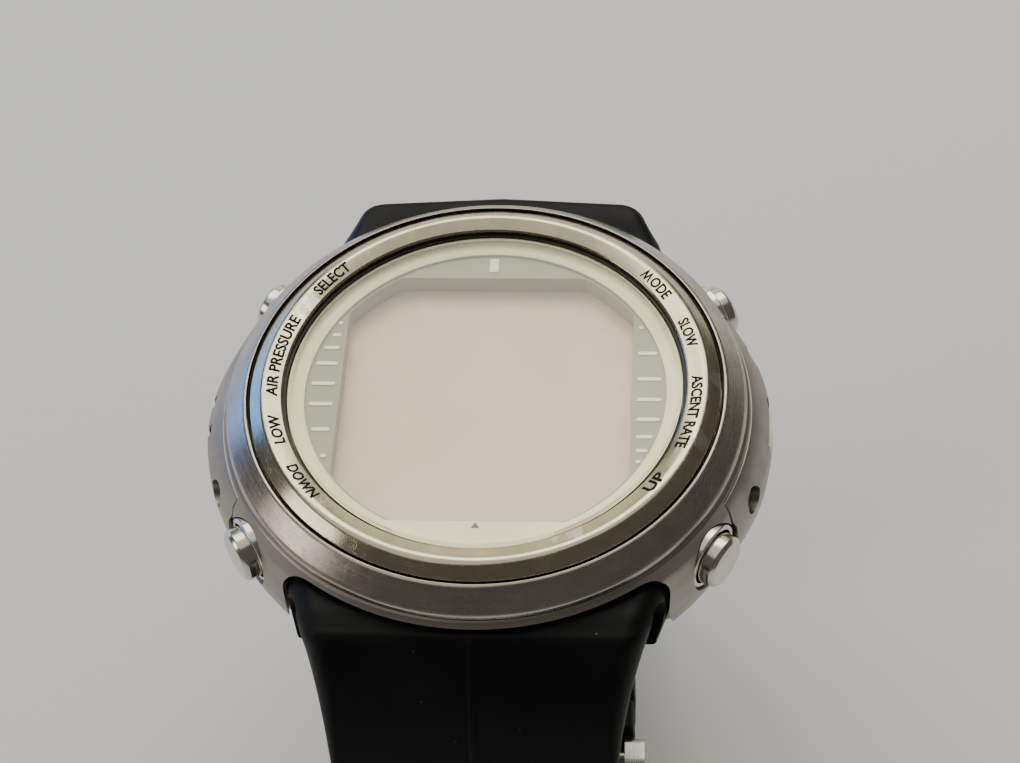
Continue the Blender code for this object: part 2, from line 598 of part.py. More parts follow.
def make_buckle():
    """A bent frame and its tongue, both hung on the buckle bar."""
    place = Matrix.Translation((0, HINGE_Y * MM, HINGE_Z * MM))
    frame = [(-15.4, -4.2), (-15.6, -2.4), (-14.2, -1.5), (-8.0, 0.4), (-1.4, 1.9), (1.0, 1.9), (1.9, 0.9),
             (1.9, -1.0), (0.8, -1.9), (-1.6, -1.9), (-8.0, -2.4), (-13.2, -4.4), (-14.6, -4.7)]
    bm = bmesh.new()
    face = bm.faces.new([bm.verts.new((-13.6, y, z)) for y, z in frame])
    made = bmesh.ops.extrude_face_region(bm, geom=[face])
    bmesh.ops.translate(bm, vec=(27.2, 0, 0), verts=[g for g in made["geom"] if isinstance(g, bmesh.types.BMVert)])
    buckle = finish(bm, "buckle_frame", "polished_steel", place)
    cut(buckle, finish(box((23.0, 18, 14), (0, -3.9, 0)), "buckle_gap", None, place, cutter=True))
    across = place @ Matrix.Rotation(math.radians(90), 4, "Y")
    cut(buckle, finish(turned(disc(0.9, -20, 20), SMALL), "buckle_eye", None, across, cutter=True))
    tongue = [(1.6, 0.9), (0.4, 1.6), (-1.2, 1.3), (-4.0, -0.1), (-9.0, -2.6), (-13.0, -4.85), (-16.2, -4.9),
              (-16.4, -5.6), (-13.2, -6.3), (-8.6, -4.2), (-3.6, -1.5), (-1.2, -1.3), (0.6, -1.5), (1.6, -0.9)]
    bm = bmesh.new()
    face = bm.faces.new([bm.verts.new((-1.05, y, z)) for y, z in tongue])
    made = bmesh.ops.extrude_face_region(bm, geom=[face])
    bmesh.ops.translate(bm, vec=(2.1, 0, 0), verts=[g for g in made["geom"] if isinstance(g, bmesh.types.BMVert)])
    pin = finish(bm, "buckle_tongue", "polished_steel", place)
    cut(pin, finish(turned(disc(0.9, -20, 20), SMALL), "tongue_eye", None, across, cutter=True))


def make_keepers():
    high = LOOP_BOTTOM + STRAP_THICK + 0.3
    low = LOOP_BOTTOM - LAYER_STEP - 0.3
    wall = 1.3
    middle = (high + low) / 2
    tall = high - low
    for name, y in (("keeper_fixed", 0.9), ("keeper_free", 5.6)):
        band = finish(box((2 * STRAP_HALF + 0.6 + 2 * wall, 3.4, tall + 2 * wall), (0, y, middle)),
                      name, "black_rubber")
        cut(band, finish(box((2 * STRAP_HALF + 0.6, 8, tall), (0, y, middle)), name + "_inside", None,
                         cutter=True))


clear_scene()
make_case()
make_covers()
make_rings()
make_module()
make_buttons()
make_straps()
make_buckle()
make_keepers()
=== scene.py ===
# %% [markdown]
# # A wrist dive computer, one cell at a time
# The real object is a steel case with a glass, a digital display and four push buttons, worn on a
# buckled rubber strap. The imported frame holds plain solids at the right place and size. Here each
# visible piece is made again with fine, rounded edges and a worked surface, and rides on its body.

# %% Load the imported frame
import json
import math
import bmesh
import bpy
from mathutils import Matrix, Vector


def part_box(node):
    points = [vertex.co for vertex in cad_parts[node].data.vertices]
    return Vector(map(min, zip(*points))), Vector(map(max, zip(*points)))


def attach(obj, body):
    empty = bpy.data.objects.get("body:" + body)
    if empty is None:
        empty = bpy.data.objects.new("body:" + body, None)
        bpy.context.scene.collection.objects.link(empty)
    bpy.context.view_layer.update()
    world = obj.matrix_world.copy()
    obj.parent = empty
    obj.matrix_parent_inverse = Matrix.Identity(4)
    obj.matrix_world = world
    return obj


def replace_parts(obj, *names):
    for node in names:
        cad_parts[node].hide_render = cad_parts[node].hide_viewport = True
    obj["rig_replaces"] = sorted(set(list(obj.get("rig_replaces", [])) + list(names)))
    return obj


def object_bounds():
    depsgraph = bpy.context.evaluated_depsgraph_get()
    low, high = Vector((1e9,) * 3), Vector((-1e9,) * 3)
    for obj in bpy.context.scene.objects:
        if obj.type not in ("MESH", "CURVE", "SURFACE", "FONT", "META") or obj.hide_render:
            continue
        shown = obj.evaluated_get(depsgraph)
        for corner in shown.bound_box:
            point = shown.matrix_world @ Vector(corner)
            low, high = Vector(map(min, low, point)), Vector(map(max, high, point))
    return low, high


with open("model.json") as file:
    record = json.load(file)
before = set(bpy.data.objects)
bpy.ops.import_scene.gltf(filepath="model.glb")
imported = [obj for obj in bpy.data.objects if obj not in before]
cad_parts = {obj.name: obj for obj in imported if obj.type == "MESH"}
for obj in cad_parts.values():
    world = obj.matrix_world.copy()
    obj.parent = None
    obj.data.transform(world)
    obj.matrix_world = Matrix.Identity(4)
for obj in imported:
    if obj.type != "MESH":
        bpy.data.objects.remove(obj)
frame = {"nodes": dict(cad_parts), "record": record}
frame_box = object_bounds()

# %% [markdown]
# ## Measures
# A watchmaker works in millimetres, so the object's sizes below are in millimetres and each piece is
# scaled once, when it is finished. Only the lights and the floor are given in metres. Some radii and
# heights come from the frame's own boxes, so that those fine pieces sit exactly where the plain ones
# are. The other sizes are written down here.

# %% Measures read from the frame
MM = 0.001


def round_size(node):
    """A node's radius along X, its top and its bottom, in millimetres."""
    low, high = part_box(node)
    low, high = Vector(low) / MM, Vector(high) / MM
    return high.x, high.z, low.z


BEZEL_R, BEZEL_TOP, _ = round_size("bezel")
RING_R, _, _ = round_size("case_top_ring")
CRYSTAL_R, CRYSTAL_TOP, CRYSTAL_LOW = round_size("crystal")
MASK_R, MASK_TOP, MASK_LOW = round_size("dial_mask")
_, LCD_TOP, _ = round_size("lcd_module")
BACK_R, BACK_TOP, _ = round_size("case_back")
FLOOR_Z = Vector(frame_box[0]).z / MM
print(f"bezel radius {BEZEL_R:.2f}, top {BEZEL_TOP:.2f}; floor at {FLOOR_Z:.2f}")

# %% [markdown]
# ## Camera, light and floor
# The camera stands above and in front of the six o'clock side, a little to the right, and leans
# slightly. A long lens keeps the ring's ellipse honest. Most light comes from a broad warm panel
# high behind the object and from a soft sky above it. A blue window low on the left colours that
# side of the steel, a small lamp on the left and a pale wall behind fill the rest.

# %% Camera
CAMERA_DISTANCE = 210.6
CAMERA_HEIGHT_ANGLE = math.radians(51.2)
CAMERA_SIDE_ANGLE = math.radians(6.79)
CAMERA_LEAN = math.radians(-4.83)
CAMERA_STEP_RIGHT = 2.27
AIM_Z = 15.0
LENS = 84.7

flat_share = math.cos(CAMERA_HEIGHT_ANGLE)
back = Vector((math.sin(CAMERA_SIDE_ANGLE) * flat_share, -math.cos(CAMERA_SIDE_ANGLE) * flat_share,
               math.sin(CAMERA_HEIGHT_ANGLE)))
level = Vector((math.cos(CAMERA_SIDE_ANGLE), math.sin(CAMERA_SIDE_ANGLE), 0))
upward = back.cross(level)
right = level * math.cos(CAMERA_LEAN) + upward * math.sin(CAMERA_LEAN)
top = upward * math.cos(CAMERA_LEAN) - level * math.sin(CAMERA_LEAN)
camera_data = bpy.data.cameras.new("camera")
camera_data.lens = LENS
camera_data.clip_start = 0.01
camera = bpy.data.objects.new("camera", camera_data)
bpy.context.scene.collection.objects.link(camera)
spot = back * CAMERA_DISTANCE + level * CAMERA_STEP_RIGHT + Vector((0, 0, AIM_Z))
camera.matrix_world = Matrix.Translation(spot * MM) @ Matrix((right, top, back)).transposed().to_4x4()
bpy.context.scene.camera = camera
print("camera at", [round(v, 1) for v in spot])

# %% Light and floor
LIGHTS = [  # name, place and size in metres, power in watts, colour
    ("blue_window", (-0.62, 0.50, 0.10), (0.50, 0.30), 1.15, (0.13, 0.37, 1.0)),
    ("high_back_panel", (-0.08, 0.65, 0.82), (1.4, 0.6), 7.7, (1.0, 0.965, 0.85)),
    ("sky_above", (-0.10, 0.14, 1.0), (1.4, 0.9), 2.7, (1.0, 0.97, 0.90)),
    ("key_left", (-0.86, -0.20, 0.40), (0.35, 0.35), 1.25, (1.0, 0.90, 0.88)),
    ("back_wall", (-0.05, 0.95, 0.28), (0.8, 0.45), 1.1, (1.0, 0.97, 0.78))]
ROOM_COLOUR = (0.50, 0.47, 0.43, 1)
ROOM_STRENGTH = 0.22
FLOOR_COLOUR = (0.93, 0.94, 0.955, 1)
FLOOR_HALF, FLOOR_GAP = 1.2, 0.0002

for name, place, size, power, colour in LIGHTS:
    data = bpy.data.lights.new(name, "AREA")
    data.shape = "RECTANGLE"
    data.size, data.size_y = size
    data.energy = power
    data.color = colour
    lamp = bpy.data.objects.new(name, data)
    lamp.location = place
    lamp.rotation_euler = (-Vector(place)).to_track_quat("-Z", "Y").to_euler()
    bpy.context.scene.collection.objects.link(lamp)

world = bpy.data.worlds.new("studio")
world.use_nodes = True
world.node_tree.nodes["Background"].inputs["Color"].default_value = ROOM_COLOUR
world.node_tree.nodes["Background"].inputs["Strength"].default_value = ROOM_STRENGTH
bpy.context.scene.world = world

bm = bmesh.new()
bmesh.ops.create_grid(bm, x_segments=1, y_segments=1, size=FLOOR_HALF)
bmesh.ops.translate(bm, vec=(0, 0, FLOOR_Z * MM - FLOOR_GAP), verts=bm.verts)
floor_mesh = bpy.data.meshes.new("floor")
bm.to_mesh(floor_mesh)
bm.free()
floor = bpy.data.objects.new("floor", floor_mesh)
bpy.context.scene.collection.objects.link(floor)
floor_mat = bpy.data.materials.new("pale_floor")
floor_mat.use_nodes = True
floor_mat.node_tree.nodes["Principled BSDF"].inputs["Base Color"].default_value = FLOOR_COLOUR
floor_mat.node_tree.nodes["Principled BSDF"].inputs["Roughness"].default_value = 0.9
floor_mesh.materials.append(floor_mat)

# %% [markdown]
# ## Surface effects as node groups
# Steel that has been turned on a lathe carries fine rings, used steel carries hair scratches, edges
# wear bright, and rubber carries grain and dust. Each effect is one group with plain outputs, so
# every material places it with its own scale and depth.

# %% Helpers for node groups


def new_group(name, inputs, outputs):
    """A shader node group with float inputs {name: default} and outputs [names]."""
    group = bpy.data.node_groups.new(name, "ShaderNodeTree")
    for label, value in inputs.items():
        socket = group.interface.new_socket(label, in_out="INPUT", socket_type="NodeSocketFloat")
        socket.default_value = value
    for label in outputs:
        group.interface.new_socket(label, in_out="OUTPUT", socket_type="NodeSocketFloat")
    return group, group.nodes.new("NodeGroupInput"), group.nodes.new("NodeGroupOutput")


def math_node(tree, operation, a, b=None, c=None):
    node = tree.nodes.new("ShaderNodeMath")
    node.operation = operation
    for socket, value in zip(node.inputs, (a, b, c)):
        if value is None:
            continue
        if isinstance(value, (int, float)):
            socket.default_value = value
        else:
            tree.links.new(value, socket)
    return node.outputs[0]


def noise_node(tree, vector, scale, detail=4.0, roughness=0.55, distortion=0.0):
    node = tree.nodes.new("ShaderNodeTexNoise")
    node.inputs["Detail"].default_value = detail
    node.inputs["Roughness"].default_value = roughness
    node.inputs["Distortion"].default_value = distortion
    if isinstance(scale, (int, float)):
        node.inputs["Scale"].default_value = scale
    else:
        tree.links.new(scale, node.inputs["Scale"])
    tree.links.new(vector, node.inputs["Vector"])
    return node.outputs["Fac"]


def map_range(tree, value, low, high, to_low=0.0, to_high=1.0):
    node = tree.nodes.new("ShaderNodeMapRange")
    for label, number in (("From Min", low), ("From Max", high), ("To Min", to_low), ("To Max", to_high)):
        if isinstance(number, (int, float)):
            node.inputs[label].default_value = number
        else:
            tree.links.new(number, node.inputs[label])
    tree.links.new(value, node.inputs["Value"])
    return node.outputs["Result"]


# %% Lathe rings: fine lines round the case's axis
CONE_SHARE = -0.8
RING_CURL = 1.6
STREAK_SHARE = 0.02


def lathe_rings_group():
    """Noise laid out by radius and direction. CONE_SHARE of the height counts as radius, so slopes
    carry rings too. RING_CURL sets how fast a line changes round the axis."""
    group, given, out = new_group("lathe_rings", {"Rings per mm": 14.0, "Streak": 2.0}, ["Rings", "Streaks"])

    def times(a, b):
        return math_node(group, "MULTIPLY", a, b)

    def turned_noise(along, curl, *noise):
        place = group.nodes.new("ShaderNodeCombineXYZ")
        for value, socket in zip((along, times(to_x, curl), times(to_y, curl)), place.inputs):
            group.links.new(value, socket)
        return noise_node(group, place.outputs[0], *noise)

    split = group.nodes.new("ShaderNodeSeparateXYZ")
    group.links.new(group.nodes.new("ShaderNodeTexCoord").outputs["Object"], split.inputs[0])
    x, y, z = split.outputs
    radius = math_node(group, "SQRT", math_node(group, "ADD", times(x, x), times(y, y)))
    to_x = math_node(group, "DIVIDE", x, radius)
    to_y = math_node(group, "DIVIDE", y, radius)
    across = math_node(group, "ADD", radius, times(z, CONE_SHARE))
    rings = times(times(across, 1 / MM), given.outputs["Rings per mm"])
    fine = turned_noise(rings, RING_CURL, 1.0, 3.0, 0.6)
    broad = turned_noise(times(rings, STREAK_SHARE), given.outputs["Streak"], 1.7, 5.0, 0.6)
    group.links.new(fine, out.inputs["Rings"])
    group.links.new(broad, out.inputs["Streaks"])
    return group


LATHE = lathe_rings_group()

# %% Hair scratches and scuffs
SCRATCH_RUNS = ((0.5, 60.0), (2.0, 90.0), (3.7, 45.0))
SCRATCH_SCALE = 900.0
SCRATCH_WIDTH = 0.012
SCUFF_SCALE = 420.0


def scratches_group():
    """Thin lines: noise stretched along three directions, kept only where it crosses its middle.
    Each run is a turn in radians and a stretch."""
    group, given, out = new_group("scratches", {"Scale": 1.0, "Amount": 0.5}, ["Lines", "Scuffs"])
    coord = group.nodes.new("ShaderNodeTexCoord").outputs["Object"]
    total = None
    for turn, stretch in SCRATCH_RUNS:
        place = group.nodes.new("ShaderNodeMapping")
        place.inputs["Rotation"].default_value = (0.3 * turn, 0.4 * turn, turn)
        place.inputs["Scale"].default_value = (SCRATCH_SCALE, SCRATCH_SCALE / stretch, SCRATCH_SCALE)
        group.links.new(coord, place.inputs["Vector"])
        crest = noise_node(group, place.outputs[0], given.outputs["Scale"], 2.0, 0.5, 0.3)
        from_middle = math_node(group, "ABSOLUTE", math_node(group, "SUBTRACT", crest, 0.5))
        line = map_range(group, from_middle, 0.0, SCRATCH_WIDTH, 1.0, 0.0)
        where = map_range(group, noise_node(group, coord, 260.0 + 40.0 * turn, 2.0), 0.52, 0.62)
        line = math_node(group, "MULTIPLY", line, where)
        total = line if total is None else math_node(group, "MAXIMUM", total, line)
    group.links.new(math_node(group, "MULTIPLY", total, given.outputs["Amount"]), out.inputs["Lines"])
    scuff = map_range(group, noise_node(group, coord, SCUFF_SCALE, 8.0, 0.7), 0.5, 0.72)
    group.links.new(math_node(group, "MULTIPLY", scuff, given.outputs["Amount"]), out.inputs["Scuffs"])
    return group


SCRATCHES = scratches_group()

# %% Bright worn edges


def edge_group():
    """Where the mesh is convex, broken up by a noise so that the wear is uneven."""
    group, given, out = new_group("edge_wear", {"Reach": 0.06}, ["Edge"])
    point = group.nodes.new("ShaderNodeNewGeometry").outputs["Pointiness"]
    coord = group.nodes.new("ShaderNodeTexCoord").outputs["Object"]
    uneven = map_range(group, noise_node(group, coord, 900.0, 4.0, 0.7), 0.3, 0.7, 0.35, 1.0)
    edge = map_range(group, point, 0.505, math_node(group, "ADD", 0.5, given.outputs["Reach"]))
    group.links.new(math_node(group, "MULTIPLY", edge, uneven), out.inputs["Edge"])
    return group


EDGE = edge_group()

# %% Fine grain and dust specks
GRAIN_SCALE, PATCH_SCALE, SPECK_SCALE = 9000.0, 180.0, 700.0


def grain_group():
    """Fine grain, broad patches and sparse round specks."""
    group, given, out = new_group("grain", {"Scale": 1.0}, ["Grain", "Patches", "Specks"])
    coord = group.nodes.new("ShaderNodeTexCoord").outputs["Object"]
    fine = math_node(group, "MULTIPLY", given.outputs["Scale"], GRAIN_SCALE)
    group.links.new(noise_node(group, coord, fine, 3.0, 0.6), out.inputs["Grain"])
    broad = math_node(group, "MULTIPLY", given.outputs["Scale"], PATCH_SCALE)
    group.links.new(noise_node(group, coord, broad, 5.0, 0.6), out.inputs["Patches"])
    cells = group.nodes.new("ShaderNodeTexVoronoi")
    cells.inputs["Scale"].default_value = SPECK_SCALE
    group.links.new(coord, cells.inputs["Vector"])
    specks = map_range(group, cells.outputs["Distance"], 0.035, 0.07, 1.0, 0.0)
    group.links.new(specks, out.inputs["Specks"])
    return group


GRAIN = grain_group()
print("effect groups:", [g.name for g in bpy.data.node_groups])

# %% [markdown]
# ## Materials
# A small helper opens a Principled shader with its plain values, and another lays an effect group
# in the same tree. Colours mix towards a second colour by a mask, and bumps chain one into the next.

# %% Material helpers


def principled(name, colour, roughness, metallic=0.0, **plain):
    mat = bpy.data.materials.new(name)
    mat.use_nodes = True
    tree = mat.node_tree
    shader = tree.nodes["Principled BSDF"]
    shader.inputs["Base Color"].default_value = (*colour, 1)
    shader.inputs["Roughness"].default_value = roughness
    shader.inputs["Metallic"].default_value = metallic
    for label, value in plain.items():
        shader.inputs[label.replace("_", " ")].default_value = value
    return mat, tree, shader


def effect(tree, group, **values):
    node = tree.nodes.new("ShaderNodeGroup")
    node.node_tree = group
    for label, value in values.items():
        node.inputs[label.replace("_", " ")].default_value = value
    return node.outputs


def blend_colour(tree, first, second, mask):
    """first and second are colours or sockets; mask is a socket from 0 to 1."""
    mix = tree.nodes.new("ShaderNodeMix")
    mix.data_type = "RGBA"
    sockets = [s for s in mix.inputs if s.type == "RGBA"]
    for socket, value in zip(sockets, (first, second)):
        if isinstance(value, tuple):
            socket.default_value = (*value, 1)
        else:
            tree.links.new(value, socket)
    tree.links.new(mask, mix.inputs["Factor"])
    return [s for s in mix.outputs if s.type == "RGBA"][0]


def add_bump(tree, shader, height, depth_mm, strength=1.0):
    """Chain one more bump in front of the shader's normal."""
    bump = tree.nodes.new("ShaderNodeBump")
    bump.inputs["Strength"].default_value = strength
    bump.inputs["Distance"].default_value = depth_mm * MM
    tree.links.new(height, bump.inputs["Height"])
    if shader.inputs["Normal"].is_linked:
        tree.links.new(shader.inputs["Normal"].links[0].from_socket, bump.inputs["Normal"])
    tree.links.new(bump.outputs[0], shader.inputs["Normal"])


# %% Steel in three finishes


def steel(name, colour, roughness, rings=0.0, ring_depth=0.0, scratch=0.4, worn=(0.85, 0.83, 0.78)):
    """Turned or blasted steel: lathe rings, scratches, worn edges and a faint stain."""
    mat, tree, shader = principled(name, colour, roughness, 1.0)
    lines = effect(tree, SCRATCHES, Scale=1.0, Amount=scratch)
    grain = effect(tree, GRAIN, Scale=1.0)
    stain = map_range(tree, grain["Patches"], 0.4, 0.8)
    shade = blend_colour(tree, colour, tuple(c * 0.80 for c in colour), stain)
    rough = map_range(tree, grain["Patches"], 0.3, 0.7, roughness * 0.85, roughness * 1.2)
    if rings:
        turned_lines = effect(tree, LATHE, Rings_per_mm=rings, Streak=2.4)
        streaks = map_range(tree, turned_lines["Streaks"], 0.4, 0.8)
        shade = blend_colour(tree, shade, tuple(min(1.0, c * 1.22) for c in colour), streaks)
        rough = math_node(tree, "ADD", rough, map_range(tree, turned_lines["Rings"], 0.3, 0.7, -0.05, 0.06))
        add_bump(tree, shader, turned_lines["Rings"], ring_depth)
    if worn:
        shade = blend_colour(tree, shade, worn, effect(tree, EDGE, Reach=0.05)["Edge"])
    tree.links.new(shade, shader.inputs["Base Color"])
    add_bump(tree, shader, grain["Grain"], 0.0015)
    for kind, share in (("Lines", 0.18), ("Scuffs", 0.10)):
        rough = math_node(tree, "ADD", rough, math_node(tree, "MULTIPLY", lines[kind], share))
    tree.links.new(rough, shader.inputs["Roughness"])
    add_bump(tree, shader, lines["Lines"], -0.004)
    return mat


BEZEL_STEEL = steel("polished_bezel_steel", (0.52, 0.49, 0.335), 0.17, rings=9.0, ring_depth=0.0008,
                    scratch=0.55)
RING_STEEL = steel("satin_ring_steel", (0.46, 0.425, 0.37), 0.25, rings=12.0, ring_depth=0.003,
                   scratch=0.6, worn=None)
CASE_STEEL = steel("blasted_case_steel", (0.36, 0.34, 0.305), 0.36, scratch=0.3, worn=None)
BUTTON_STEEL = steel("button_steel", (0.66, 0.63, 0.55), 0.18, scratch=0.4)
BUCKLE_STEEL = steel("buckle_steel", (0.58, 0.57, 0.54), 0.26, scratch=0.7, worn=None)
SCREW_STEEL = steel("screw_steel", (0.40, 0.39, 0.37), 0.30, scratch=0.5)
BACK_STEEL = steel("case_back_steel", (0.50, 0.48, 0.44), 0.30, rings=10.0, ring_depth=0.004,
                   scratch=0.9, worn=None)

# %% Rubber, gasket and plastics


def rubber(name, colour, roughness, speck=0.5, grain_depth=0.012):
    """Matt rubber with paler patches, grain, and dust specks where the patches are."""
    mat, tree, shader = principled(name, colour, roughness, 0.0, Specular_IOR_Level=0.20)
    grain = effect(tree, GRAIN, Scale=0.9)
    shade = blend_colour(tree, colour, tuple(c * 1.7 for c in colour),
                         map_range(tree, grain["Patches"], 0.5, 0.85))
    dusty = map_range(tree, grain["Patches"], 0.5, 0.62, 0.0, speck)
    dust = math_node(tree, "MULTIPLY", grain["Specks"], dusty)
    shade = blend_colour(tree, shade, (0.42, 0.42, 0.40), dust)
    tree.links.new(shade, shader.inputs["Base Color"])
    tree.links.new(map_range(tree, grain["Patches"], 0.3, 0.7, roughness - 0.08, roughness + 0.08),
                   shader.inputs["Roughness"])
    add_bump(tree, shader, grain["Grain"], grain_depth, 0.6)
    return mat


def plastic(name, colour, roughness, second=None, depth=0.004, **plain):
    """Moulded or printed plastic: a faint mottle and a fine grain."""
    mat, tree, shader = principled(name, colour, roughness, 0.0, **plain)
    grain = effect(tree, GRAIN, Scale=0.7)
    shade = blend_colour(tree, colour, second or tuple(c * 0.86 for c in colour),
                         map_range(tree, grain["Patches"], 0.35, 0.8))
    tree.links.new(shade, shader.inputs["Base Color"])
    tree.links.new(map_range(tree, grain["Patches"], 0.3, 0.7, roughness - 0.05, roughness + 0.07),
                   shader.inputs["Roughness"])
    add_bump(tree, shader, grain["Grain"], depth, 0.5)
    return mat


STRAP_RUBBER = rubber("strap_rubber", (0.0035, 0.0042, 0.0045), 0.5)
SEAL_RUBBER = rubber("seal_rubber", (0.006, 0.006, 0.006), 0.6, speck=0.2)
# The glass seal is a real dark part, but its brown tone is painted shade for the shadow inside the bezel.
GLASS_SEAL_WITH_PAINTED_SHADE = plastic("glass_seal_brown", (0.030, 0.026, 0.016), 0.45)
FLANGE_CREAM = plastic("flange_cream", (0.93, 0.92, 0.50), 0.42)
MASK_GREY = plastic("mask_grey", (0.27, 0.265, 0.155), 0.5, (0.24, 0.24, 0.14))
TICK_CREAM = plastic("tick_cream", (0.95, 0.95, 0.72), 0.35)
INK = plastic("label_ink", (0.004, 0.004, 0.0035), 0.6, (0.012, 0.012, 0.011), Specular_IOR_Level=0.15)
WHITE_PLASTIC = plastic("white_plastic", (0.82, 0.82, 0.78), 0.45)
BRASS = steel("spring_brass", (0.78, 0.60, 0.30), 0.28, scratch=0.4, worn=(0.95, 0.8, 0.5))
CELL_STEEL = steel("battery_steel", (0.66, 0.66, 0.65), 0.24, scratch=0.5)
BOARD_GREEN = plastic("board_green", (0.03, 0.16, 0.07), 0.4, (0.05, 0.24, 0.10))
FERRITE = plastic("ferrite", (0.05, 0.045, 0.045), 0.6)
print("materials so far:", len(bpy.data.materials))

# %% [markdown]
# ## Turned pieces
# Most of a watch is made on a lathe, so most pieces here start as a flat half section whose corners
# are rounded with a vertex bevel. A spin about the upright axis then makes the ring or disc.

# %% Section, spin and finish
STEPS, FINE_STEPS = 192, 256


def section(points, segments=4):
    """A flat face from (radius, height, rounding) corners; each corner is bevelled to its rounding."""
    bm = bmesh.new()
    corners = [(bm.verts.new((p[0], 0, p[1])), p[2] if len(p) > 2 else 0.0) for p in points]
    bm.faces.new([v for v, _ in corners])
    for size in sorted({size for _, size in corners if size > 0}):
        chosen = [v for v, own in corners if own == size]
        bmesh.ops.bevel(bm, geom=chosen, offset=size, offset_type="OFFSET", affect="VERTICES",
                        segments=segments, profile=0.5, material=-1)
    return bm


def spun(points, steps=STEPS, segments=4, start=0.0, angle=360.0):
    """Turn a section about Z. A part turn keeps both flat ends."""
    bm = section(points, segments)
    face = bm.faces[:][0]
    if angle < 360.0:
        bmesh.ops.rotate(bm, verts=bm.verts, matrix=Matrix.Rotation(math.radians(start), 3, "Z"))
        bmesh.ops.spin(bm, geom=[face], axis=(0, 0, 1), steps=steps, angle=math.radians(angle))
    else:
        bmesh.ops.delete(bm, geom=[face], context="FACES_ONLY")
        on_axis = [e for e in bm.edges if all(math.hypot(v.co.x, v.co.y) < 1e-6 for v in e.verts)]
        bmesh.ops.delete(bm, geom=on_axis, context="EDGES")
        bmesh.ops.spin(bm, geom=bm.edges[:] + bm.verts[:], axis=(0, 0, 1), steps=steps, angle=math.tau,
                       use_merge=True)
    bmesh.ops.remove_doubles(bm, verts=bm.verts, dist=1e-4)
    bmesh.ops.recalc_face_normals(bm, faces=bm.faces)
    return bm


def make_object(bm, name, place=None):
    """Millimetres to metres, with the place in the mesh."""
    if place is not None:
        bmesh.ops.transform(bm, matrix=place, verts=bm.verts)
    bmesh.ops.scale(bm, vec=(MM, MM, MM), verts=bm.verts)
    bmesh.ops.recalc_face_normals(bm, faces=bm.faces)
    mesh = bpy.data.meshes.new(name)
    bm.to_mesh(mesh)
    bm.free()
    obj = bpy.data.objects.new(name, mesh)
    bpy.context.scene.collection.objects.link(obj)
    return obj


def block(size, middle):
    """A box of this size about its middle, as a bmesh."""
    bm = bmesh.new()
    bmesh.ops.create_cube(bm, size=1.0)
    bmesh.ops.scale(bm, vec=size, verts=bm.verts)
    bmesh.ops.translate(bm, vec=middle, verts=bm.verts)
    return bm


def rod(radius, low, high, steps, name, place=None):
    """A plain cylinder about Z, as an object. Most are drills that are cut away at once."""
    points = [(0, low), (radius, low), (radius, high), (0, high)]
    return make_object(spun(points, steps), name, place)


def edges_along(bm, axis):
    """The edges of a block that run along X, Y or Z (0, 1 or 2)."""
    return [e for e in bm.edges if abs(e.verts[0].co[axis] - e.verts[1].co[axis]) > 1e-4]


def round_edges(bm, edges, width, segments):
    """Bevel these edges of a block to a round."""
    bmesh.ops.bevel(bm, geom=edges, offset=width, offset_type="OFFSET", affect="EDGES", segments=segments,
                    profile=0.5, material=-1)


def carve(obj, tool, operation="DIFFERENCE"):
    """Cut or join obj with tool, then keep the result as obj's own mesh."""
    step = obj.modifiers.new("carve", "BOOLEAN")
    step.operation = operation
    step.solver = "EXACT"
    step.object = tool
    mesh = bpy.data.meshes.new_from_object(obj.evaluated_get(bpy.context.evaluated_depsgraph_get()))
    obj.modifiers.clear()
    obj.data = mesh
    bpy.data.objects.remove(tool)


def soften(obj, width, angle=32.0, segments=3):
    """Round every sharp edge, as tumbling or polishing does."""
    bevel = obj.modifiers.new("rounded", "BEVEL")
    bevel.width = width * MM
    bevel.segments = segments
    bevel.limit_method = "ANGLE"
    bevel.angle_limit = math.radians(angle)
    bevel.miter_outer = "MITER_ARC"
    bevel.use_clamp_overlap = True
    bevel.harden_normals = False


made = []


def dress(obj, mat, body, nodes=(), smooth=32.0):
    """Material, shading, the body it rides on and the plain solids it stands for."""
    obj.data.materials.clear()
    obj.data.materials.append(mat)
    obj.data.shade_smooth()
    obj.data.set_sharp_from_angle(angle=math.radians(smooth))
    even = obj.modifiers.new("even_shading", "WEIGHTED_NORMAL")
    even.keep_sharp = True
    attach(obj, body)
    if nodes:
        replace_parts(obj, *nodes)
    made.append(obj)
    return obj


# %% [markdown]
# ## Bezel, case ring and gasket
# The bezel is a polished ring that clamps the glass. Its inner face slopes like a shallow funnel and
# carries the printed words. It sits in a wider satin ring that is pressed onto the case, and a
# thin dark gasket fills the seam between the two.

# %% Bezel
FUNNEL_LOW = Vector((17.85, 15.42))
FUNNEL_TOP_R = 19.45
FUNNEL_SLOPE = math.atan2(BEZEL_TOP - FUNNEL_LOW.y, FUNNEL_TOP_R - FUNNEL_LOW.x)
RIM_R = 19.4
RIM_Z = FUNNEL_LOW.y + (RIM_R - FUNNEL_LOW.x) * math.tan(FUNNEL_SLOPE)
bezel_points = [(18.4, 14.2, 0.05), (20.72, 14.2, 0.05), (20.72, 14.82, 0.1), (RIM_R, RIM_Z, 0.5),
                (17.85, 15.42, 0.07), (17.75, 15.3, 0.05), (17.75, 15.0, 0.03), (18.4, 15.0, 0.02)]
bezel = make_object(spun(bezel_points, FINE_STEPS, 5), "bezel_ring")
dress(bezel, BEZEL_STEEL, "case", ["bezel"], 60)
seal = [(20.76, 14.2), (20.98, 14.2), (20.98, 14.6, 0.08), (20.76, 14.6, 0.08)]
dress(make_object(spun(seal), "bezel_seal"), SEAL_RUBBER, "case", ["bezel_gasket"])
print("bezel triangles:", len(bezel.data.polygons) * 2)

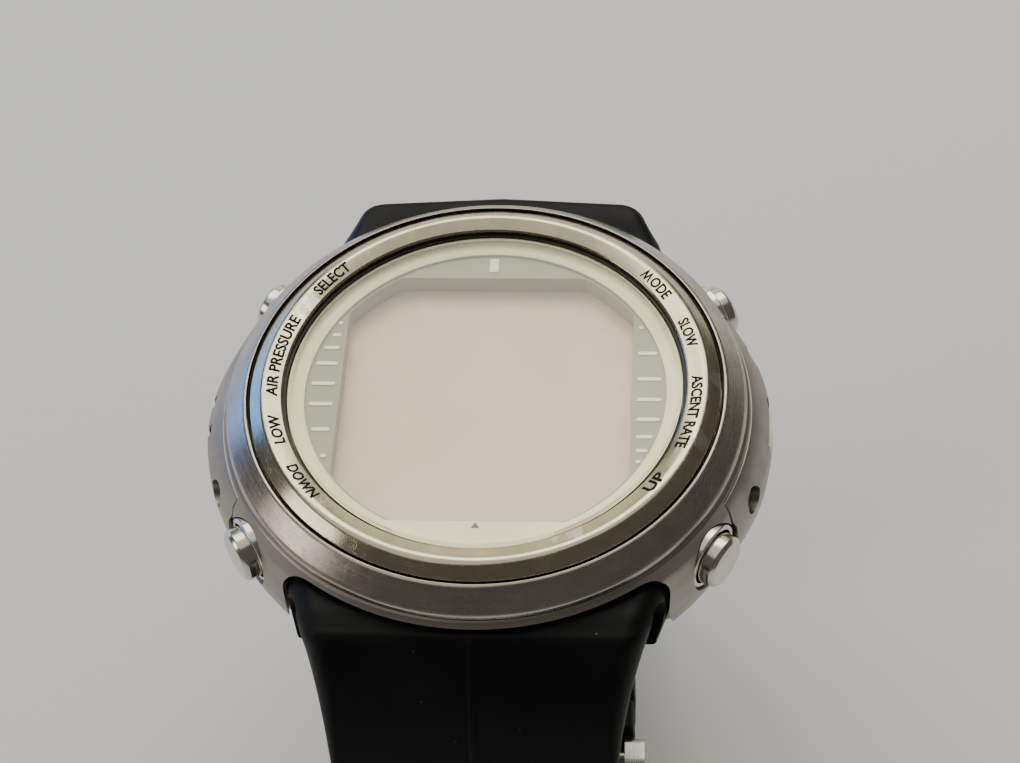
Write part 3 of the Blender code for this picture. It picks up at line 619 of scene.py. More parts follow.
# %% Case ring with its small mark at twelve o'clock
ring_points = [(18.35, 12.56), (23.05, 12.56, 0.05), (23.05, 13.02, 0.12), (22.85, 13.34, 0.15),
               (21.3, 14.84, 0.15), (21.03, 14.9, 0.05), (21.03, 14.05), (18.35, 14.05)]
case_ring = make_object(spun(ring_points, FINE_STEPS, 5), "upper_case_ring")
carve(case_ring, make_object(block((0.35, 0.8, 1.6), (0.0, 23.1, 13.0)), "mark_cutter"))
dress(case_ring, RING_STEEL, "case", ["case_top_ring"], 60)
print("case ring outer radius:", RING_R)

# %% [markdown]
# ## Printed words on the funnel
# The maker prints short words beside each button and each side scale. Text is a flat curve, so it
# becomes a thin mesh first. Every point is then bent onto the cone: its place along the line turns
# into an angle and its height into a distance up the slope.

# %% Words bent onto a cone
LETTER_HEIGHT = 1.05
LETTER_WEIGHT = 0.029
LETTER_GAP = 0.07
TURNED_W_WIDTH = 0.86
WORD_FOOT = 0.3
INK_THICK = 0.012
PRINT_LIFT = 0.012


def letters(words, thick):
    """Outline letters as a bmesh, made bolder by an offset."""
    curve = bpy.data.curves.new("words", "FONT")
    curve.body = words
    curve.size = 1.0
    curve.extrude = thick / 2
    curve.resolution_u = 3
    curve.offset = LETTER_WEIGHT
    obj = bpy.data.objects.new("words", curve)
    bpy.context.scene.collection.objects.link(obj)
    mesh = bpy.data.meshes.new_from_object(obj.evaluated_get(bpy.context.evaluated_depsgraph_get()))
    bpy.data.objects.remove(obj)
    bm = bmesh.new()
    bm.from_mesh(mesh)
    bmesh.ops.remove_doubles(bm, verts=bm.verts, dist=1e-5)
    return bm


def flat_text(words, height, thick):
    """A word whose line starts at x = 0; capitals are height mm tall. The font's M folds over
    itself when it is made bolder, so a first M is a W turned upside down."""
    bm = letters(words[1:] if words.startswith("M") else words, thick)
    if words.startswith("M"):
        start = min(v.co.x for v in bm.verts) - LETTER_GAP
        foot = min(v.co.y for v in bm.verts)
        first = letters("W", thick)
        bmesh.ops.rotate(first, verts=first.verts, matrix=Matrix.Rotation(math.pi, 3, "Z"))
        bmesh.ops.scale(first, verts=first.verts, vec=(TURNED_W_WIDTH, 1, 1))
        shift = (start - max(v.co.x for v in first.verts), foot - min(v.co.y for v in first.verts), 0)
        bmesh.ops.translate(first, vec=shift, verts=first.verts)
        turned = bpy.data.meshes.new("first")
        first.to_mesh(turned)
        first.free()
        bm.from_mesh(turned)
    low_x = min(v.co.x for v in bm.verts)
    low_y = min(v.co.y for v in bm.verts)
    tall = max(v.co.y for v in bm.verts) - low_y
    bmesh.ops.translate(bm, vec=(-low_x, -low_y, 0), verts=bm.verts)
    bmesh.ops.scale(bm, vec=(height / tall, height / tall, 1), verts=bm.verts)
    return bm


def cone_words(words, first, last, outward=True):
    """Angles are in degrees from three o'clock. outward words read clockwise with tops outside."""
    bm = flat_text(words, LETTER_HEIGHT, INK_THICK)
    wide = max(v.co.x for v in bm.verts)
    low = WORD_FOOT if outward else WORD_FOOT + LETTER_HEIGHT
    for v in bm.verts:
        turn = math.radians(first + (last - first) * v.co.x / wide)
        up = low + (v.co.y if outward else -v.co.y)
        lift = PRINT_LIFT + v.co.z
        r = FUNNEL_LOW.x + up * math.cos(FUNNEL_SLOPE) - lift * math.sin(FUNNEL_SLOPE)
        z = FUNNEL_LOW.y + up * math.sin(FUNNEL_SLOPE) + lift * math.cos(FUNNEL_SLOPE)
        v.co = (r * math.cos(turn), r * math.sin(turn), z)
    return bm


WORDS = [("SELECT", 148, 135, True), ("AIR PRESSURE", 186.5, 158, True), ("LOW", 203, 193, True),
         ("ASCENT RATE", 2, -23, True), ("SLOW", 22, 12, True), ("MODE", 42.5, 31, True),
         ("DOWN", 211, 223.5, False), ("UP", 320.5, 327.5, False)]
for words, first, last, outward in WORDS:
    name = "label_" + words.lower().replace(" ", "_")
    label = make_object(cone_words(words, first, last, outward), name)
    dress(label, INK, "case", smooth=20)

ARROW_R, ARROW_Y, ARROW_LIFT = 0.44, -14.42, 0.06
arrow = bmesh.new()
bmesh.ops.create_cone(arrow, cap_ends=True, segments=3, radius1=ARROW_R, radius2=ARROW_R, depth=INK_THICK)
point = max(arrow.verts, key=lambda v: v.co.length)
to_twelve = math.radians(90) - math.atan2(point.co.y, point.co.x)
bmesh.ops.rotate(arrow, verts=arrow.verts, matrix=Matrix.Rotation(to_twelve, 3, "Z"))
bmesh.ops.translate(arrow, vec=(0, ARROW_Y, MASK_TOP + ARROW_LIFT), verts=arrow.verts)
dress(make_object(arrow, "six_oclock_mark"), INK, "case", smooth=20)
print("words:", [w[0] for w in WORDS])

# %% [markdown]
# ## Glass, its seal and the cream ring under it
# The glass is a flat mineral disc with a small polished bevel. A seal holds its edge; its dark brown is
# painted shade, the shadow inside the bezel's wall. A cream ring lies under the glass, so the eye sees a pale
# band round the dial. A light that passes the glass isn't shadowed by it, so that the display below stays
# bright.

# %% Glass and seal
glass_mat, glass_tree, glass_shader = principled("watch_glass", (1.0, 1.0, 1.0), 0.02, 0.0, IOR=1.5,
                                                 Transmission_Weight=1.0)
wipe = effect(glass_tree, GRAIN, Scale=0.25)
smears = map_range(glass_tree, wipe["Patches"], 0.45, 0.8, 0.015, 0.06)
glass_tree.links.new(smears, glass_shader.inputs["Roughness"])
clear = glass_tree.nodes.new("ShaderNodeBsdfTransparent")
path = glass_tree.nodes.new("ShaderNodeLightPath")
either = glass_tree.nodes.new("ShaderNodeMixShader")
glass_tree.links.new(path.outputs["Is Shadow Ray"], either.inputs[0])
glass_tree.links.new(glass_shader.outputs[0], either.inputs[1])
glass_tree.links.new(clear.outputs[0], either.inputs[2])
glass_tree.links.new(either.outputs[0], glass_tree.nodes["Material Output"].inputs["Surface"])

GLASS_CHAMFER = 0.3
glass_points = [(0, CRYSTAL_LOW), (CRYSTAL_R, CRYSTAL_LOW, 0.08),
                (CRYSTAL_R, CRYSTAL_TOP - GLASS_CHAMFER, 0.05),
                (CRYSTAL_R - GLASS_CHAMFER, CRYSTAL_TOP, 0.08), (0, CRYSTAL_TOP)]
glass = make_object(spun(glass_points, FINE_STEPS), "watch_glass")
dress(glass, glass_mat, "case", ["crystal"], 50)
seal = [(17.45, 13.4), (18.25, 13.4), (18.25, 14.85, 0.1), (17.5, 14.85, 0.1), (17.5, 13.55), (17.45, 13.55)]
# The seal's brown material carries painted shade for the shadow inside the bezel's wall.
dress(make_object(spun(seal), "glass_seal"), GLASS_SEAL_WITH_PAINTED_SHADE, "case", ["crystal_gasket"])
print("glass from", round(CRYSTAL_LOW, 2), "to", round(CRYSTAL_TOP, 2))

# %% Cream ring
cream = [(15.98, 13.3), (17.42, 13.3), (17.42, 13.55, 0.03), (16.5, 13.55, 0.05), (15.98, 13.42, 0.04)]
flange = make_object(spun(cream, FINE_STEPS), "cream_ring")
dress(flange, FLANGE_CREAM, "case", ["dial_flange"], 50)

# %% [markdown]
# ## Dial mask, scale marks and display
# A grey plastic mask frames the display. Its opening is a square whose corners follow the round
# dial, which is the overlap of a box and a disc, so it is cut with exactly that tool. Raised cream
# marks stand at both sides as a pressure scale and a speed scale.

# %% Mask
WINDOW = (-12.9, 12.9, -13.9, 13.3)
WINDOW_ROUND = 15.7


def window_block(grow, round_r, low, high):
    """A box with its corners cut by a disc."""
    x0, x1, y0, y1 = WINDOW[0] - grow, WINDOW[1] + grow, WINDOW[2] - grow, WINDOW[3] + grow
    size = (x1 - x0, y1 - y0, high - low)
    window = make_object(block(size, ((x0 + x1) / 2, (y0 + y1) / 2, (low + high) / 2)), "block")
    carve(window, rod(round_r, low - 1, high + 1, FINE_STEPS, "disc"), "INTERSECT")
    return window


mask_points = [(0, MASK_LOW), (MASK_R, MASK_LOW), (MASK_R, MASK_TOP, 0.04), (0, MASK_TOP)]
mask = make_object(spun(mask_points, FINE_STEPS), "mask")
carve(mask, window_block(0, WINDOW_ROUND, MASK_LOW - 1, MASK_TOP + 1))
mask.name = "display_mask"
soften(mask, 0.06, 40, 2)
dress(mask, MASK_GREY, "case", ["dial_mask"], 45)

# %% Scale marks, each as its height along Y and its length
LEFT_MARKS = [(7.8, 0.35), (6.4, 0.75), (4.9, 1.4), (3.1, 1.9), (0.8, 2.1), (-1.5, 2.1), (-4.3, 1.6),
              (-7.2, 0.5)]
RIGHT_MARKS = [(7.5, 0.4), (4.5, 1.7), (1.6, 2.1), (-0.7, 2.1), (-2.9, 2.0), (-4.8, 1.4), (-6.3, 1.0),
               (-7.5, 0.4)]
MARK_INNER = 13.4
MARK_WIDE = 0.34
MARK_LOW, MARK_HIGH = MASK_TOP + 0.01, MASK_TOP + 0.11
FIELD_R, FIELD_HIGH, FIELD_OVERLAP = 15.97, MASK_TOP + 0.05, 0.02


def bar(x0, x1, y, wide, low, high, corner=0.46):
    """A bar along X whose upright edges are bevelled by a share of its width."""
    bm = block((abs(x1 - x0), wide, high - low), ((x0 + x1) / 2, y, (low + high) / 2))
    round_edges(bm, edges_along(bm, 2), wide * corner, 4)
    return bm


for side, marks in ((-1, LEFT_MARKS), (1, RIGHT_MARKS)):
    for k, (y, long) in enumerate(marks):
        outer = side * (MARK_INNER + max(long, MARK_WIDE))
        mark = bar(side * MARK_INNER, outer, y, MARK_WIDE, MARK_LOW, MARK_HIGH)
        name = f"scale_mark_{'left' if side < 0 else 'right'}_{k + 1}"
        dress(make_object(mark, name), TICK_CREAM, "case")
top_bar = make_object(bar(14.0, 15.55, 0.0, 0.8, MARK_LOW, MARK_HIGH, 0.12), "twelve_oclock_bar",
                      Matrix.Rotation(math.radians(90), 4, "Z"))
dress(top_bar, TICK_CREAM, "case")
crescent = rod(FIELD_R, MARK_LOW, FIELD_HIGH, FINE_STEPS, "six_oclock_field")
upper_part = block((40, 40, 4), (0, WINDOW[2] - FIELD_OVERLAP + 20, MASK_TOP))
carve(crescent, make_object(upper_part, "field_cutter"))
dress(crescent, FLANGE_CREAM, "case")

# %% Display
lcd_mat, lcd_tree, lcd_shader = principled("display_film", (0.60, 0.50, 0.40), 0.32)
blotch = effect(lcd_tree, GRAIN, Scale=0.9)
shade = blend_colour(lcd_tree, (0.67, 0.51, 0.335), (0.58, 0.46, 0.31),
                     map_range(lcd_tree, blotch["Patches"], 0.38, 0.75))
lcd_tree.links.new(shade, lcd_shader.inputs["Base Color"])
dull = map_range(lcd_tree, blotch["Patches"], 0.3, 0.7, 0.25, 0.4)
lcd_tree.links.new(dull, lcd_shader.inputs["Roughness"])
add_bump(lcd_tree, lcd_shader, blotch["Grain"], 0.002, 0.4)
DISPLAY_GROW, DISPLAY_ROUND, DISPLAY_LOW = 0.5, 16.2, 10.1
display = window_block(DISPLAY_GROW, DISPLAY_ROUND, DISPLAY_LOW, LCD_TOP)
display.name = "display_panel"
soften(display, 0.1, 40, 2)
dress(display, lcd_mat, "case", ["lcd_module"], 45)
print("display top at", round(LCD_TOP, 2))

# %% [markdown]
# ## Case body
# The case is one turned steel body. A pocket is milled for each strap end, with two lugs that carry
# the strap's pin, and wells are bored for the buttons. The same order works here: spin the body, cut
# the pockets, wells and cover seats, and round what is left sharp.

# %% Directions from the case's axis
BUTTON_ANGLES = {"mode": 34.0, "select": 146.0, "down": 214.0, "up": 326.0}
BUTTON_Z = 8.5
BUTTON_SEAT = 22.9
PIN_Y, PIN_Z, PIN_HALF = 20.2, 8.3, 14.5
CORE_R, STRAP_CORE_R = 20.4, 20.6
COVER_ANGLE, COVER_HALF, COVER_CORNER, COVER_TOP = 29.0, 11.2, 6.2, 14.8
COVER_BULGE, COVER_BLEND, COVER_EDGE = 0.66, 2.6, (23.47, 11.9)
COVER_THICK, SEAT_DEPTH = 1.2, 1.55
COVER_SCREW_ANGLE, COVER_SCREW_Z = 18.5, 9.0


def radial(angle, z, out=0.0):
    """Local +Z points out of the case at this angle from three o'clock."""
    turn = Matrix.Rotation(math.radians(angle), 4, "Z") @ Matrix.Rotation(math.radians(90), 4, "Y")
    return Matrix.Translation((0, 0, z)) @ turn @ Matrix.Translation((0, 0, out))


def along_x(y, z):
    """Local +Z points along X, through this place beside the case's axis."""
    return Matrix.Translation((0, y, z)) @ Matrix.Rotation(math.radians(90), 4, "Y")


# %% Strap pocket
POCKET_WIDE, POCKET_HIGH, POCKET_MIDDLE_Z, POCKET_ROUND = 34.2, 14.85, 4.425, 2.6
POCKET_LONG, POCKET_START, POCKET_NARROW = 14.3, 15.7, 0.8


def pocket(sy):
    """Wide round-topped opening that narrows outward; only its part outside the core is cut."""
    bm = block((POCKET_WIDE, 1.0, POCKET_HIGH), (0, 0.5, POCKET_MIDDLE_Z))
    bmesh.ops.scale(bm, vec=(1, POCKET_LONG, 1), verts=bm.verts)
    top_edges = [e for e in edges_along(bm, 1) if all(v.co.z > 0 for v in e.verts)]
    round_edges(bm, top_edges, POCKET_ROUND, 8)
    for v in bm.verts:
        if v.co.y > POCKET_LONG / 2:
            v.co.x *= POCKET_NARROW
    bmesh.ops.translate(bm, vec=(0, POCKET_START, 0), verts=bm.verts)
    bmesh.ops.scale(bm, vec=(1, sy, 1), verts=bm.verts)
    tool = make_object(bm, "pocket")
    shell = make_object(spun([(CORE_R, -4), (40, -4), (40, 16.3), (CORE_R, 16.3)]), "pocket_shell")
    carve(tool, shell, "INTERSECT")
    return tool


# %% Cover seats and covers share one section
CASE_CURVE = [(23.0, 12.4), (23.25, 12.25), (24.05, 11.0), (24.6, 9.3), (24.75, 7.6), (24.6, 5.8),
              (24.0, 3.8), (22.9, 2.2), (21.6, 1.0), (20.6, 0.5)]


def ease(t):
    """A smooth step from 0 to 1."""
    t = min(max(t, 0.0), 1.0)
    return t * t * (3 - 2 * t)


def case_radius(z):
    """The case's outer radius at a height, read off its curve."""
    for (r1, z1), (r0, z0) in zip(CASE_CURVE, CASE_CURVE[1:]):
        if z0 <= z <= z1:
            return r0 + (r1 - r0) * (z - z0) / (z1 - z0)
    return CASE_CURVE[0][0]


def cover_section(depth, extra, grow):
    """The case's outer curve from z 2.2 up to the ledge, and the same curve set in by depth."""
    curve = [COVER_EDGE] + [(r, z) for r, z in CASE_CURVE if 2.0 < z < 11.5]
    curve[0] = (curve[0][0], curve[0][1] + grow)
    curve[-1] = (curve[-1][0], curve[-1][1] - grow)
    return [(r + extra, z) for r, z in curve] + [(r - depth, z) for r, z in curve[::-1]]


def cover_shape(grow, middle):
    """A block that points out of the case's side, its two upper corners bevelled round."""
    high = COVER_TOP + grow
    bm = block((12.0, 2 * (COVER_HALF + grow), high), (24.0, 0, high / 2))
    corners = [e for e in edges_along(bm, 0) if all(v.co.z > high - 0.1 for v in e.verts)]
    round_edges(bm, corners, COVER_CORNER, 16)
    return make_object(bm, "cover_shape", Matrix.Rotation(math.radians(middle), 4, "Z"))


# %% Turn the case and cut it
LUG_SIZE, LUG_X, LUG_INWARD = (3.9, 4.1, 3.1), 7.52, 0.6
PIN_BORE_R, PIN_BORE_HALF = 1.05, 12
SEAT_OUT, SEAT_GAP_ANGLE, SEAT_GAP_Z, SEAT_GAP = 3.0, 0.4, 0.15, 0.12
TAP_R, BACK_TAP_R, PORT_R, PORT_Z = 0.55, 0.6, 1.95, 6.6
BACK_SCREW_R, BACK_SCREW_START = 17.75, 41
back_screw_places = []
for k in range(4):
    a = math.radians(BACK_SCREW_START + 90 * k)
    back_screw_places.append(Matrix.Translation((BACK_SCREW_R * math.cos(a), BACK_SCREW_R * math.sin(a), 0)))

case_points = [(r, z, 0.3) for r, z in CASE_CURVE]
case_points[0] = (23.0, 12.4, 0.02)
case_points[1] = (23.25, 12.25, 0.08)
case_points += [(19.1, 0.5), (19.1, 1.7), (16.6, 1.7), (16.6, 13.3), (18.2, 13.3), (18.2, 12.4)]
case = make_object(spun(case_points, STEPS, 3), "case_middle")
for sy in (1, -1):
    carve(case, pocket(sy))
    for sx in (1, -1):
        lug = block(LUG_SIZE, (sx * LUG_X, sy * (PIN_Y - LUG_INWARD), PIN_Z))
        carve(case, make_object(lug, "lug"), "UNION")
    pin_way = rod(PIN_BORE_R, -PIN_BORE_HALF, PIN_BORE_HALF, 32, "pin_bore", along_x(sy * PIN_Y, PIN_Z))
    carve(case, pin_way)
well = [(0, -8), (1.2, -8), (1.2, -4.9), (1.9, -4.9), (1.9, -4.35), (3.15, -4.35), (3.15, 6), (0, 6)]
for angle in BUTTON_ANGLES.values():
    carve(case, make_object(spun(well, 64), "well", radial(angle, BUTTON_Z, BUTTON_SEAT)))
for middle in (0.0, 180.0):
    half = COVER_ANGLE + SEAT_GAP_ANGLE
    seat_section = cover_section(SEAT_DEPTH, SEAT_OUT, SEAT_GAP_Z)
    seat = make_object(spun(seat_section, 48, 1, middle - half, 2 * half), "seat")
    carve(seat, cover_shape(SEAT_GAP, middle), "INTERSECT")
    carve(case, seat)
    for turn in (-COVER_SCREW_ANGLE, COVER_SCREW_ANGLE):
        carve(case, rod(TAP_R, 20.5, 30, 24, "tap", radial(middle + turn, COVER_SCREW_Z)))
carve(case, rod(PORT_R, 10, 30, 32, "port", radial(0, PORT_Z)))
for place in back_screw_places:
    carve(case, rod(BACK_TAP_R, -2, 5, 24, "tap", place))
soften(case, 0.16, 38, 3)
dress(case, CASE_STEEL, "case", ["case_body"], 42)
print("case faces:", len(case.data.polygons))

# %% [markdown]
# ## Side covers
# A thin curved plate is screwed on at each side. The right one covers the water pressure sensor and
# has a slit that lets water in; the left one has two small vents. Each plate is a part turn of the
# case's own curve, pushed out a little in its middle, and it blends into the case under the ledge.

# %% Screws, in the order of slotted_screw's sizes
COVER_SCREW = (0.88, 24.0, 24.42, 0.45, 21.2, 0.2, 0.16)
BACK_SCREW = (0.93, -0.55, -0.05, 0.48, -3.6, 0.22, 0.2)


def slotted_screw(head_r, head_low, head_top, shank_r, shank_low, slot_wide, slot_deep):
    """A flat head with a rounded rim and a driver slot."""
    points = [(0, shank_low), (shank_r, shank_low), (shank_r, head_low), (head_r, head_low, 0.04),
              (head_r, head_top, 0.09), (0, head_top)]
    screw = make_object(spun(points, 48, 3), "screw")
    slot = block((slot_wide, head_r * 3, slot_deep * 2), (0, 0, head_top))
    carve(screw, make_object(slot, "slot"))
    return screw


def set_screw(screw, place, node):
    """Move a finished screw to its hole and dress it."""
    for step in (Matrix.Scale(1 / MM, 4), place, Matrix.Scale(MM, 4)):
        screw.data.transform(step)
    screw.name = f"{node}_fine"
    dress(screw, SCREW_STEEL, "case", [node], 35)


# %% Covers
NOTCH_R = 3.35
SCREW_HOLE = [(0, 20), (0.6, 20), (0.6, 23.9), (1.25, 23.9), (1.25, 30), (0, 30)]
SLIT = (6, 5.4, 1.2), (25, 0.3, 9.0)
VENT_SIZE, VENT_X, VENT_YS, VENT_Z = (6, 1.2, 1.3), -25, (-1.3, 1.9), 9.3

for side, middle in (("right", 0.0), ("left", 180.0)):
    way = 1 if side == "right" else -1
    plate_section = cover_section(COVER_THICK, 0.0, -SEAT_GAP_Z)
    bm = spun(plate_section, 64, 1, middle - COVER_ANGLE, 2 * COVER_ANGLE)
    for v in bm.verts:
        flat = v.co.xy.length
        if flat > case_radius(v.co.z) - 0.3:
            turn = abs(math.degrees(math.asin(v.co.y / flat)))
            blend = ease((COVER_EDGE[1] - v.co.z) / COVER_BLEND)
            bulge = COVER_BULGE * (1 - (turn / COVER_ANGLE) ** 2) * blend
            v.co.xy *= 1 + bulge / flat
    plate = make_object(bm, "plate")
    carve(plate, cover_shape(0.0, middle), "INTERSECT")
    for angle in BUTTON_ANGLES.values():
        if way * math.cos(math.radians(angle)) > 0:
            carve(plate, rod(NOTCH_R, -5, 6, 64, "notch", radial(angle, BUTTON_Z, BUTTON_SEAT)))
    for k, turn in enumerate((-COVER_SCREW_ANGLE, COVER_SCREW_ANGLE)):
        place = radial(middle + turn, COVER_SCREW_Z)
        carve(plate, make_object(spun(SCREW_HOLE, 40), "hole", place))
        screw = slotted_screw(*COVER_SCREW)
        set_screw(screw, place @ Matrix.Rotation(1.1 * k + 0.4, 4, "Z"), f"cover_screw_{side}_{k + 1}")
    if side == "right":
        carve(plate, make_object(block(*SLIT), "slit"))
    else:
        for y in VENT_YS:
            carve(plate, make_object(block(VENT_SIZE, (VENT_X, y, VENT_Z)), "vent"))
    plate.name = f"side_plate_{side}"
    soften(plate, 0.14, 38, 3)
    dress(plate, CASE_STEEL, "case", [f"side_cover_{side}"], 42)
print("covers done")

# %% [markdown]
# ## Push buttons
# Four steel plungers stand in collars at the corners. The face of each is flat with a polished
# chamfer, and the stem runs through an O-ring to a clip inside. A button rides on its own body, so
# it can be pressed.

# %% Buttons and collars, from the stem's inner end outward
BUTTON_CAP = [(0, -7.2), (0.6, -7.2), (0.6, -6.95), (0.45, -6.95), (0.45, -6.55), (0.75, -6.55), (0.75, -0.4),
              (2.4, -0.4, 0.08), (2.4, 2.42, 0.1), (2.08, 2.8, 0.14), (0, 2.8)]
COLLAR = [(0.9, -4.25), (3.05, -4.25), (3.05, 1.4, 0.16), (2.6, 1.4, 0.1), (2.6, -3.75), (0.9, -3.75)]

for name, angle in BUTTON_ANGLES.items():
    place = radial(angle, BUTTON_Z, BUTTON_SEAT)
    button = make_object(spun(BUTTON_CAP, 96, 5), f"push_button_{name}", place)
    dress(button, BUTTON_STEEL, f"button_{name}", [f"button_{name}"], 50)
    sleeve = make_object(spun(COLLAR, 96, 4), f"button_collar_{name}", place)
    dress(sleeve, BUTTON_STEEL, "case", [f"button_sleeve_{name}"], 50)
print("buttons at", BUTTON_ANGLES)

# %% [markdown]
# ## Case back
# The back is a turned steel plate held by four slotted screws. Its face shows lathe rings and the
# rub marks of daily wear; any stamped text is left off.

# %% Case back and screws
back_points = [(0, 0.0), (8.0, 0.0), (8.2, 0.12, 0.05), (8.6, 0.12, 0.05), (8.8, 0.0, 0.03),
               (15.6, 0.0, 0.03), (15.8, 0.1, 0.05), (16.1, 0.1, 0.05), (16.3, 0.0, 0.03), (BACK_R, 0.0, 0.2),
               (BACK_R, BACK_TOP), (0, BACK_TOP)]
BACK_HOLE = [(0, -1), (1.05, -1), (1.05, 0.65), (0.6, 0.65), (0.6, 3), (0, 3)]
back_plate = make_object(spun(back_points, FINE_STEPS), "back_plate")
for k, place in enumerate(back_screw_places):
    carve(back_plate, make_object(spun(BACK_HOLE, 40), "hole", place))
    screw = slotted_screw(*BACK_SCREW)
    flip = place @ Matrix.Rotation(math.radians(180), 4, "X") @ Matrix.Rotation(0.7 * k, 4, "Z")
    set_screw(screw, flip, f"back_screw_{k + 1}")
dress(back_plate, BACK_STEEL, "case", ["case_back"], 42)
print("case back radius", BACK_R)

# %% [markdown]
# ## Rubber strap
# The strap is moulded rubber in two pieces, thick and wide where it fills the case's pocket and
# thin at the buckle. A rounded section is extruded from station to station along the loop, and
# each ring of points is set to that station's width and thickness. The loop is the size of a wrist.

# %% The loop's shape
LOOP_HALF, LOOP_BOTTOM, FLAT_HALF = 33.0, -46.0, 12.0
SHOULDER_Y, SHOULDER_Z, SHOULDER_R = 5.5, -9.4, 27.5
SHOULDER_START = 42
FAR_SWELL, FAR_NARROW = 1.3, 0.9
STRAP_THICK, LAYER_STEP, STRAP_HALF = 2.6, 2.9, 10.8
HINGE_Y = -3.0
HINGE_Z = LOOP_BOTTOM + STRAP_THICK / 2


def loop_stations(side, shift, start, end, steps):
    """Points on the loop's outer face with outward normals: a shoulder arc, then a quarter ellipse.
    The arc on the far side swells outward a little at its top."""
    first = math.radians(SHOULDER_START)
    arc = SHOULDER_R * (math.pi / 2 - first)
    drop = SHOULDER_Z - LOOP_BOTTOM
    wide = LOOP_HALF - FLAT_HALF
    quarter = math.pi / 2 * math.sqrt((wide ** 2 + drop ** 2) / 2)
    stations = []
    for i in range(steps + 1):
        run = (start + (end - start) * i / steps) * (arc + quarter)
        if run < arc:
            a = first + run / SHOULDER_R
            y, z = SHOULDER_Y + SHOULDER_R * math.sin(a), SHOULDER_Z + SHOULDER_R * math.cos(a)
            ny, nz = math.sin(a), math.cos(a)
            if side > 0:
                along = (a - first) / (math.pi / 2 - first)
                swell = FAR_SWELL * math.cos(along * math.pi / 2) ** 2
                y, z = y + swell * ny, z + swell * nz
        else:
            a = (run - arc) / quarter * math.pi / 2
            y, z = FLAT_HALF + wide * math.cos(a), SHOULDER_Z - drop * math.sin(a)
            ny, nz = Vector((drop * math.cos(a), -wide * math.sin(a))).normalized()
        stations.append((side * (y + shift * ny), z + shift * nz, side * ny, nz))
    return stations


# %% [markdown]
# The strap's outer face bulges where it is thick, and carries one fine rib along its middle. The
# face is sunk by the rib's height, so the rib's top stays on the loop.

# %% Section and sweep
RIB, CROWN = 0.14, 0.7
RIB_HALF, RIB_SHOULDER, RIB_SHOULDER_SHARE = 0.28, 0.17, 0.8
CORNER_STEPS, INNER_STEPS, INNER_CORNER = 6, 3, 0.45


def section_ring(half, thick, corner, rib):
    """Points (across, depth) round the strap's section, from the outer face's left corner."""
    points = []

    def corner_arc(x, d, size, start, steps):
        for i in range(steps + 1):
            a = start - math.pi / 2 * i / steps
            points.append((x + size * math.cos(a), d - size * math.sin(a)))

    corner_arc(-half + corner, corner, corner, math.pi, CORNER_STEPS)
    points.extend([(-RIB_HALF, 0.0), (-RIB_SHOULDER, -rib * RIB_SHOULDER_SHARE), (0.0, -rib),
                   (RIB_SHOULDER, -rib * RIB_SHOULDER_SHARE), (RIB_HALF, 0.0)])
    corner_arc(half - corner, corner, corner, math.pi / 2, CORNER_STEPS)
    inner = thick - INNER_CORNER
    corner_arc(half - INNER_CORNER, inner, INNER_CORNER, 0.0, INNER_STEPS)
    corner_arc(-half + INNER_CORNER, inner, INNER_CORNER, -math.pi / 2, INNER_STEPS)
    return points


def sweep(rows):
    """Extrude a rounded section ring by ring. A row is (station, half width, thickness, corner, rib)."""
    bm = bmesh.new()

    def put(verts, row):
        (y, z, ny, nz), half, thick, corner, rib = row
        crown = CROWN * ease((thick - STRAP_THICK) / 2.0)
        for v, (x, d) in zip(verts, section_ring(half, thick, corner, rib)):
            d += rib + (crown * (x / half) ** 2 if d < thick / 2 else 0.0)
            v.co = (x, y - d * ny, z - d * nz)

    verts = [bm.verts.new((0, 0, 0)) for _ in section_ring(*rows[0][1:])]
    put(verts, rows[0])
    edges = [bm.edges.new((verts[i], verts[(i + 1) % len(verts)])) for i in range(len(verts))]
    bm.faces.new(verts)
    for row in rows[1:]:
        out = bmesh.ops.extrude_edge_only(bm, edges=edges)["geom"]
        grown = [g for g in out if isinstance(g, bmesh.types.BMEdge) and g not in edges]
        fresh = {g for g in out if isinstance(g, bmesh.types.BMVert)}
        edges = [e for e in grown if e.verts[0] in fresh and e.verts[1] in fresh]
        verts = [next(e.other_vert(v) for e in v.link_edges if e.other_vert(v) in fresh) for v in verts]
        put(verts, row)
    bm.faces.new(verts)
    bmesh.ops.recalc_face_normals(bm, faces=bm.faces)
    return bm


# %% From the pocket to the loop's flat bottom
POCKET_TOP = 11.65
POCKET_YS, POCKET_HALVES = (16.0, 18.2, 20.5), (16.75, 16.2, 15.45)
POCKET_THICK, POCKET_CORNER = 6.0, 2.2
BLEND_STEPS, BLEND_RISE = 7, 0.12
STRAP_FLARE, STRAP_TAPER = 3.9, 5.8
ROOT_THICK, ROOT_LENGTH = 5.2, 0.3
STRAP_CORNER, ROOT_CORNER, ROOT_CORNER_LENGTH = 0.7, 1.4, 0.2
NEAR_RIB_START, FAR_RIB_START, RIB_RUN_IN = 0.005, 0.15, 0.02


